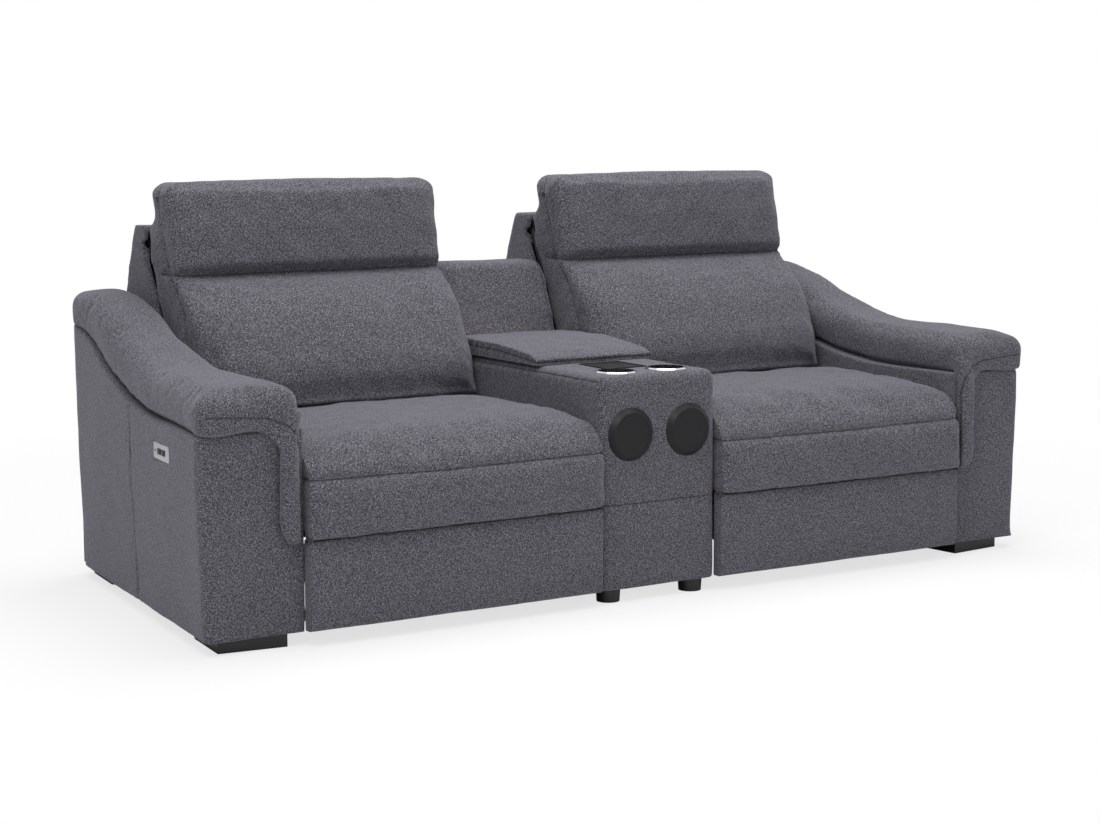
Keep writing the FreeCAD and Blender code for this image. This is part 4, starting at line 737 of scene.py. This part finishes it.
class SOFA_OT_footrests(bpy.types.Operator):
    """Padded footrest panels below the seats"""

    bl_idname = "sofa.footrests"
    bl_label = "Footrest panels"

    def execute(self, context):
        low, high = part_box("right_footrest_pad")
        obj = new_object("right_footrest_cover", cad_form("right_footrest_pad"))
        skin(obj, voxel=0.006, rounds=5)
        apply_modifier(obj, "SUBSURF", levels=1, render_levels=1)
        fit(obj, (low.x - 0.009, low.y, low.z - 0.003), (high.x + 0.009, high.y, 0.254))
        left, right = low.x - SIDE_REACH, high.x + SIDE_REACH
        top = 0.2466  # just under the seat's cover
        co = points(obj)
        across = (co[:, 0] - (low.x + high.x) / 2) / (high.x - low.x) * 2
        upward = (co[:, 2] - (low.z + high.z) / 2) / (high.z - low.z) * 2
        front_swell, top_swell = 0.010, 0.004
        front = step_up(-co[:, 1], -high.y, -low.y)
        co[:, 1] -= front_swell * front * (1 - np.abs(across) ** 6) * (1 - np.abs(upward) ** 3)
        co[:, 2] += top_swell * step_up(upward, 0.5, 1.0) * (1 - across**4)
        # The cloth turns in round the panel's side edges, and stands a little behind it there.
        turned_in = 0.0045
        for bound in (left, right):
            co[:, 0] = sharpen(co[:, 0], bound, 0.012)
        outer = step_up(np.abs(across), 0.965, 0.985)
        co[:, 2] = sharpen(co[:, 2], top, 0.010, outer)
        co[:, 1] = sharpen(co[:, 1], high.y, 0.013, outer)
        co[:, 1] += turned_in * step_up(co[:, 1], high.y - 0.006, high.y) * outer
        move_points(obj, co)
        soften(obj, seed=23, tall=0.0008, wide=0.0012)
        hold_between(obj, (left, low.y - 0.014, low.z), (right, high.y + turned_in, top))
        mark(obj)
        for side, piece in both_sides(obj, "footrest_cover", "footrest_pad"):
            dress(piece, heathered_weave())
            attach(piece, f"{side}_footrest")
        return {"FINISHED"}


# Front edge of a back at its sides, from the seat to the top of the headrest, as setback from the
# console's front and height.
BACK_EDGE = (
    (0.562, 0.494), (0.577, 0.530), (0.603, 0.595), (0.640, 0.662), (0.671, 0.714),
    (0.706, 0.756), (0.742, 0.790), (0.762, 0.802), (0.757, 0.818), (0.768, 0.862),
    (0.784, 0.925), (0.797, 0.985), (0.806, 1.022),
)


class SOFA_OT_backs(bpy.types.Operator):
    """Back cushions and headrests in one cover, folded deep between them"""

    bl_idname = "sofa.backs"
    bl_label = "Backs with headrests"

    def execute(self, context):
        low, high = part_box("right_back_cushion")
        head_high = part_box("right_headrest_pad")[1]
        edge = [(y - DEPTH_SHIFT, z) for y, z in BACK_EDGE]
        rear_reach = head_high.y + 0.012
        outline = [
            (0.232, 0.468),
            *edge,
            (0.306, 1.040),
            (head_high.y - 0.012, 1.040),
            (head_high.y, 1.012),
            (head_high.y, 0.95),
            (0.412, 0.924),
            (0.408, 0.84),
            (0.380, 0.77),
        ]
        obj = new_object("right_back_cover", profile_form(outline, low.x, high.x, edge=0.016))
        skin(obj, voxel=0.010, rounds=4)
        shrink(obj, distance=0.005)
        inflate(obj, reach=0.014)
        apply_modifier(obj, "SUBSURF", levels=1, render_levels=1)
        fit(obj, (low.x - 0.012, edge[0][0], 0.446), (high.x + 0.012, rear_reach, 1.046))
        hold_between(obj, (low.x - 0.005, 0, 0.466), (high.x + 0.0055, rear_reach, 1.043))
        co = points(obj)
        middle, half = (low.x + high.x) / 2, (high.x - low.x) / 2
        across = np.clip((co[:, 0] - middle) / half, -1, 1)
        rear = np.interp(co[:, 2], [0.473, 0.80, 0.905, 1.036], [0.232, 0.362, 0.366, 0.37])
        face = np.interp(co[:, 2], [z for _, z in edge], [y for y, _ in edge])
        # The belly grows from the cushion's rear to its face, and from its sides to its middle.
        ahead = np.clip((rear - co[:, 1]) / (rear - face), 0, 1)
        belly = np.interp(
            co[:, 2],
            [0.48, 0.53, 0.60, 0.68, 0.74, 0.79, 0.802, 0.83, 0.93, 1.02],
            [1.05, 1.0, 1.0, 0.78, 0.48, 0.05, 0.0, 0.12, 0.20, 0.10],
        )
        held = np.interp(co[:, 2], [0.50, 0.56, 0.72, 0.79], [0.95, 0.68, 0.68, 1.0])
        co[:, 1] -= settings().belly * belly * ahead * (1 - held * np.abs(across) ** 3.2)
        # The foot of the cushion rests on the seat, which rises towards the front.
        foot_rise = 0.006
        co[:, 2] += foot_rise * step_up(-co[:, 1], -0.15, 0.0) * step_up(0.52 - co[:, 2], 0.0, 0.04)
        move_points(obj, co)
        soften(obj, seed=37, tall=0.0014, wide=0.0026)
        # The headrest's top edge is level, with corners turned to a wide radius.
        co = points(obj)
        stations = np.linspace(low.x, high.x, 40)
        strip = 0.014
        tops = [co[np.abs(co[:, 0] - x) < strip, 2].max() for x in stations]
        top_crown = 0.004
        aimed = head_high.z - 0.003 + top_crown * (1 - across**2)
        raised = step_up(co[:, 2], 0.90, 1.0)
        co[:, 2] += (aimed - np.interp(co[:, 0], stations, tops)) * raised
        radius = 0.050
        turned = np.clip(np.abs(co[:, 0] - middle) - (half + 0.004 - radius), 0, radius)
        co[:, 2] = np.minimum(co[:, 2], aimed - radius + np.sqrt(radius**2 - turned**2))
        # The fold between cushion and headrest, and the seam where the sides' boxing joins.
        crease_height, crease_width, crease_depth = 0.8035, 0.016, 0.020
        boxing_width = 0.034
        side_face = step_up(np.abs(across), 0.955, 0.985)
        crease = co[:, 2] - crease_height
        front = step_up(-co[:, 1], -0.335, -0.30)
        face = np.interp(co[:, 2], [z for _, z in edge], [y for y, _ in edge])
        boxing = co[:, 1] - face - boxing_width
        pressed = fade(crease, crease_width) * front * (1 - np.abs(across) ** 8)
        co[:, 1] += crease_depth * pressed
        move_points(obj, co)
        sew(obj, [(crease, front), (boxing, side_face * step_up(co[:, 2], 0.52, 0.56))])
        hold_between(
            obj,
            (low.x - 0.006, low.y - 0.01, 0.466),
            (high.x + 0.006, rear_reach, head_high.z + 0.006),
        )
        for side, piece in both_sides(obj, "back_cover", "back_cushion", "headrest_pad"):
            dress(piece, heathered_weave())
            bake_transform(piece)
        return {"FINISHED"}


class SOFA_OT_shells(bpy.types.Operator):
    """Outer covers of the backs"""

    bl_idname = "sofa.shells"
    bl_label = "Back shells"

    def execute(self, context):
        obj = new_object("right_shell_cover", cad_form("right_back_shell"))
        skin(obj, voxel=0.007, rounds=4)
        low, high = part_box("right_back_shell")
        soften(obj, seed=51, tall=0.0006, wide=0.0016)
        # The sides stand out over the back's frame.
        co = points(obj)
        side_stand = 0.005
        off_middle = co[:, 0] - (low.x + high.x) / 2
        co[:, 0] += side_stand * np.sign(off_middle) * step_up(np.abs(off_middle), 0.36, 0.385)
        move_points(obj, co)
        hold_between(obj, (low.x - 0.005, low.y, low.z), (high.x + 0.0055, high.y, high.z + 0.004))
        co = points(obj)
        welt = (co[:, 1] - (high.y - 0.012), step_up(co[:, 2], 0.24, 0.26))
        sew(obj, [welt], depth=0.0015)
        for side, piece in both_sides(obj, "shell_cover", "back_shell"):
            dress(piece, heathered_weave())
            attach(piece, f"{side}_back")
        return {"FINISHED"}


class SOFA_OT_arms(bpy.types.Operator):
    """Upholstered sides of the arms"""

    bl_idname = "sofa.arms"
    bl_label = "Arm panels"

    def execute(self, context):
        low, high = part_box("right_arm_cover")
        obj = new_object("right_arm_panel", cad_form("right_arm_cover"))
        skin(obj, voxel=0.007, rounds=2)
        fit(obj, (low.x, low.y, low.z - 0.006), high)
        hold_between(obj, (low.x, low.y, low.z - 0.001), high)
        # The edge beside the footrest is crisp.
        co = points(obj)
        inner = step_up(low.x + 0.05 - co[:, 0], 0.0, 0.03)
        co[:, 1] = sharpen(co[:, 1], low.y, 0.012, inner)
        co[:, 0] = sharpen(co[:, 0], low.x, 0.012)
        # The outer side draws in towards the floor and at the rear.
        drawn = np.interp(
            co[:, 2],
            [0.032, 0.037, 0.043, 0.060, 0.088, 0.19, 0.30, 0.42],
            [-0.001, -0.005, -0.009, -0.011, -0.011, -0.006, -0.002, 0.0],
        )
        along = np.clip((co[:, 1] - low.y) / (high.y - low.y), 0, 1)
        outer = high.x - (high.x - low.x) * 0.44 * along
        rear_draw = 0.012
        drawn = drawn - rear_draw * step_up(co[:, 1], high.y - 0.075, high.y) ** 2
        co[:, 0] += drawn * np.clip((co[:, 0] - low.x) / (outer - low.x), 0, 1) ** 2
        move_points(obj, co)
        soften(obj, seed=61, tall=0.0005, wide=0.0012)
        hold_between(obj, (low.x, low.y, low.z - 0.001), (high.x + 0.004, high.y + 0.002, high.z))
        co = points(obj)
        side = step_up(co[:, 0], low.x + 0.10, low.x + 0.13)
        seam_setback = 0.540
        sew(obj, [(co[:, 1] - (seam_setback - DEPTH_SHIFT), side)], depth=0.0016)
        for side, piece in both_sides(obj, "arm_panel", "arm_cover"):
            dress(piece, heathered_weave())
            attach(piece, "base")
        return {"FINISHED"}


# Stitched line on the front of an arm pad, as distance from the sofa's middle and height.
STITCHED = (
    (1.262, 0.545), (1.243, 0.547), (1.160, 0.543), (1.074, 0.535), (1.029, 0.516),
    (1.008, 0.493), (1.000, 0.453), (0.999, 0.300), (0.999, 0.236),
)


class SOFA_OT_arm_pads(bpy.types.Operator):
    """Swooping arm pads with the tab that runs down beside the seat"""

    bl_idname = "sofa.arm_pads"
    bl_label = "Arm pads"

    def execute(self, context):
        low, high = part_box("right_arm_pad")
        obj = new_object("right_arm_pad_cover", cad_form("right_arm_pad"))
        skin(obj, voxel=0.007, rounds=10)
        shrink(obj, distance=0.005)
        inflate(obj, reach=0.012)
        apply_modifier(obj, "SUBSURF", levels=1, render_levels=1)
        soften(obj, seed=71, tall=0.0007, wide=0.0014)
        hold_between(
            obj,
            (low.x, low.y - 0.008, low.z - 0.004),
            (high.x + 0.006, high.y, high.z + 0.006),
        )
        co = points(obj)
        signed = distance_to_line(co[:, 0], co[:, 2], STITCHED)
        sew(obj, [(signed, step_up(-co[:, 1], 0.515, 0.525))], depth=0.0012)
        for side, piece in both_sides(obj, "arm_pad_cover", "arm_pad"):
            dress(piece, heathered_weave())
            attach(piece, "base")
        return {"FINISHED"}


class SOFA_OT_console(bpy.types.Operator):
    """Fabric cover of the console, open for the bin, the cups, the charger and the speakers"""

    bl_idname = "sofa.console"
    bl_label = "Console cover"

    def execute(self, context):
        low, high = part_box("console_cover")
        obj = new_object("console_fabric", cad_form("console_cover"))
        skin(obj, voxel=0.005, rounds=3)
        soften(obj, seed=81, tall=0.0004, wide=0.0010)
        hold_between(obj, low, high)
        co = points(obj)
        seam_height = 0.247
        front = (co[:, 2] - seam_height, step_up(-co[:, 1], 0.505, 0.515))
        sides = (co[:, 2] - (high.z - 0.014), step_up(np.abs(co[:, 0]), 0.170, 0.176))
        sew(obj, [front, sides], depth=0.0016)
        dress(obj, heathered_weave())
        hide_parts("console_cover")
        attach(obj, "base")
        return {"FINISHED"}


class SOFA_OT_lid(bpy.types.Operator):
    """Padded lid of the console's bin"""

    bl_idname = "sofa.lid"
    bl_label = "Console lid"

    def execute(self, context):
        low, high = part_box("lid_pad")
        # The board's underside stands below the padding, so that it shows when the lid is open.
        foot = low.z + 0.0008
        outline = [
            (low.y, foot),
            (high.y, foot),
            (high.y, high.z),
            (low.y + 0.20, high.z),
            (low.y + 0.05, low.z + 0.031),
            (low.y + 0.012, low.z + 0.022),
            (low.y, low.z + 0.012),
        ]
        obj = new_object("lid_cover", profile_form(outline, low.x, high.x, edge=0.007))
        skin(obj, voxel=0.005, rounds=4)
        apply_modifier(obj, "SUBSURF", levels=1, render_levels=1)
        fit(obj, (low.x - 0.005, low.y - 0.007, foot - 0.008), (high.x + 0.005, high.y, high.z))
        hold_between(obj, (low.x, low.y, foot), high)
        co = points(obj)
        across = co[:, 0] / high.x
        along = (co[:, 1] - low.y) / (high.y - low.y)
        share = np.clip((co[:, 2] - low.z) / (high.z - low.z), 0, 1)
        crown = 0.006
        co[:, 2] += crown * share * (1 - np.abs(across) ** 2.5) * (1 - np.abs(2 * along - 1) ** 4)
        # Its lower edges are crisp and cover the board's.
        low_part = step_up(low.z + 0.018 - co[:, 2], 0.0, 0.010)
        for bound in (low.x, high.x):
            co[:, 0] = sharpen(co[:, 0], bound, 0.010, low_part)
        co[:, 1] = sharpen(co[:, 1], low.y, 0.012, low_part)
        co[:, 2] = sharpen(co[:, 2], foot, 0.008)
        move_points(obj, co)
        soften(obj, seed=91, tall=0.0012, wide=0.0012, share=share)
        hold_between(obj, (low.x, low.y, foot), (high.x, high.y, high.z + 0.008))
        co = points(obj)
        seam_level = low.z + np.interp(along, [0.0, 0.1, 0.4, 1.0], [0.007, 0.011, 0.022, 0.028])
        sides = step_up(np.abs(co[:, 0]), 0.165, 0.172)
        front = step_up(-co[:, 1], -low.y - 0.012, -low.y - 0.004)
        sew(obj, [(co[:, 2] - seam_level, np.maximum(sides, front))], depth=0.0008)
        dress(obj, heathered_weave())
        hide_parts("lid_pad")
        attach(obj, "lid")
        return {"FINISHED"}


class SOFA_OT_rear_pad(bpy.types.Operator):
    """Low padded panel behind the lid, between the backs"""

    bl_idname = "sofa.rear_pad"
    bl_label = "Console rear panel"

    def execute(self, context):
        low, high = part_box("console_rear_pad")
        obj = new_object("rear_pad_cover", cad_form("console_rear_pad"))
        skin(obj, voxel=0.006, rounds=5)
        apply_modifier(obj, "SUBSURF", levels=1, render_levels=1)
        soften(obj, seed=101, tall=0.0014, wide=0.0020)
        hold_between(obj, low, (high.x, high.y, high.z + 0.004))
        co = points(obj)
        above_lid = step_up(co[:, 2], 0.60, 0.62)
        front = step_up(0.33 - co[:, 1], 0.0, 0.02)
        seam_offset = 0.163
        sew(obj, [(np.abs(co[:, 0]) - seam_offset, above_lid * front)], depth=0.002)
        dress(obj, heathered_weave())
        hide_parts("console_rear_pad")
        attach(obj, "base")
        return {"FINISHED"}


class SOFA_OT_finishes(bpy.types.Operator):
    """Finishes of the frame's own parts"""

    bl_idname = "sofa.finishes"
    bl_label = "Finishes"

    def execute(self, context):
        by_ending = {
            birch_ply: ("console_carcass", "arm_frames", "lid_board", "seat_frames"),
            polypropylene: ("storage_bin", "rear_panel"),
            chromed_steel: ("cup_holders",),
            moulded_abs: ("charging_pad", "speaker_rings", "rocker", "actuators"),
            satin_chrome: ("control_plates",),
            grille_cloth: ("speaker_cones",),
            feet_plastic: ("console_feet", "block_feet"),
            spring_steel: ("seat_springs",),
            zinc_steel: ("leaf", "links", "speaker_drivers", "rod"),
            black_steel: ("mechanism_frames", "footrest_frame", "back_frame", "bracket"),
        }
        for name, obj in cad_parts.items():
            if obj.hide_render:
                continue
            found = [make for make, ends in by_ending.items() if name.endswith(ends)]
            if len(found) != 1:
                raise RuntimeError(f"{name} has {len(found)} finishes")
            for holder in obj.material_slots:
                holder.material = found[0]()
        return {"FINISHED"}


class SOFA_PT_panel(bpy.types.Panel):
    """The sofa's pieces, in the order in which they are made"""

    bl_label = "Sofa"
    bl_idname = "SOFA_PT_panel"
    bl_space_type = "VIEW_3D"
    bl_region_type = "UI"
    bl_category = "Sofa"

    def draw(self, context):
        column = self.layout.column()
        for name in SofaSettings.__annotations__:
            column.prop(context.scene.sofa, name)
        for step in STEPS:
            column.operator(step.bl_idname)


STEPS = (
    SOFA_OT_stage,
    SOFA_OT_seats,
    SOFA_OT_footrests,
    SOFA_OT_backs,
    SOFA_OT_shells,
    SOFA_OT_arms,
    SOFA_OT_arm_pads,
    SOFA_OT_console,
    SOFA_OT_lid,
    SOFA_OT_rear_pad,
    SOFA_OT_finishes,
)
CLASSES = (SofaSettings, *STEPS, SOFA_PT_panel)


def register():
    for kind in CLASSES:
        bpy.utils.register_class(kind)
    bpy.types.Scene.sofa = bpy.props.PointerProperty(type=SofaSettings)


def unregister():
    del bpy.types.Scene.sofa
    for kind in reversed(CLASSES):
        bpy.utils.unregister_class(kind)


def main():
    register()
    for step in STEPS:
        group, name = step.bl_idname.split(".")
        getattr(getattr(bpy.ops, group), name)()


if __name__ == "__main__":
    main()
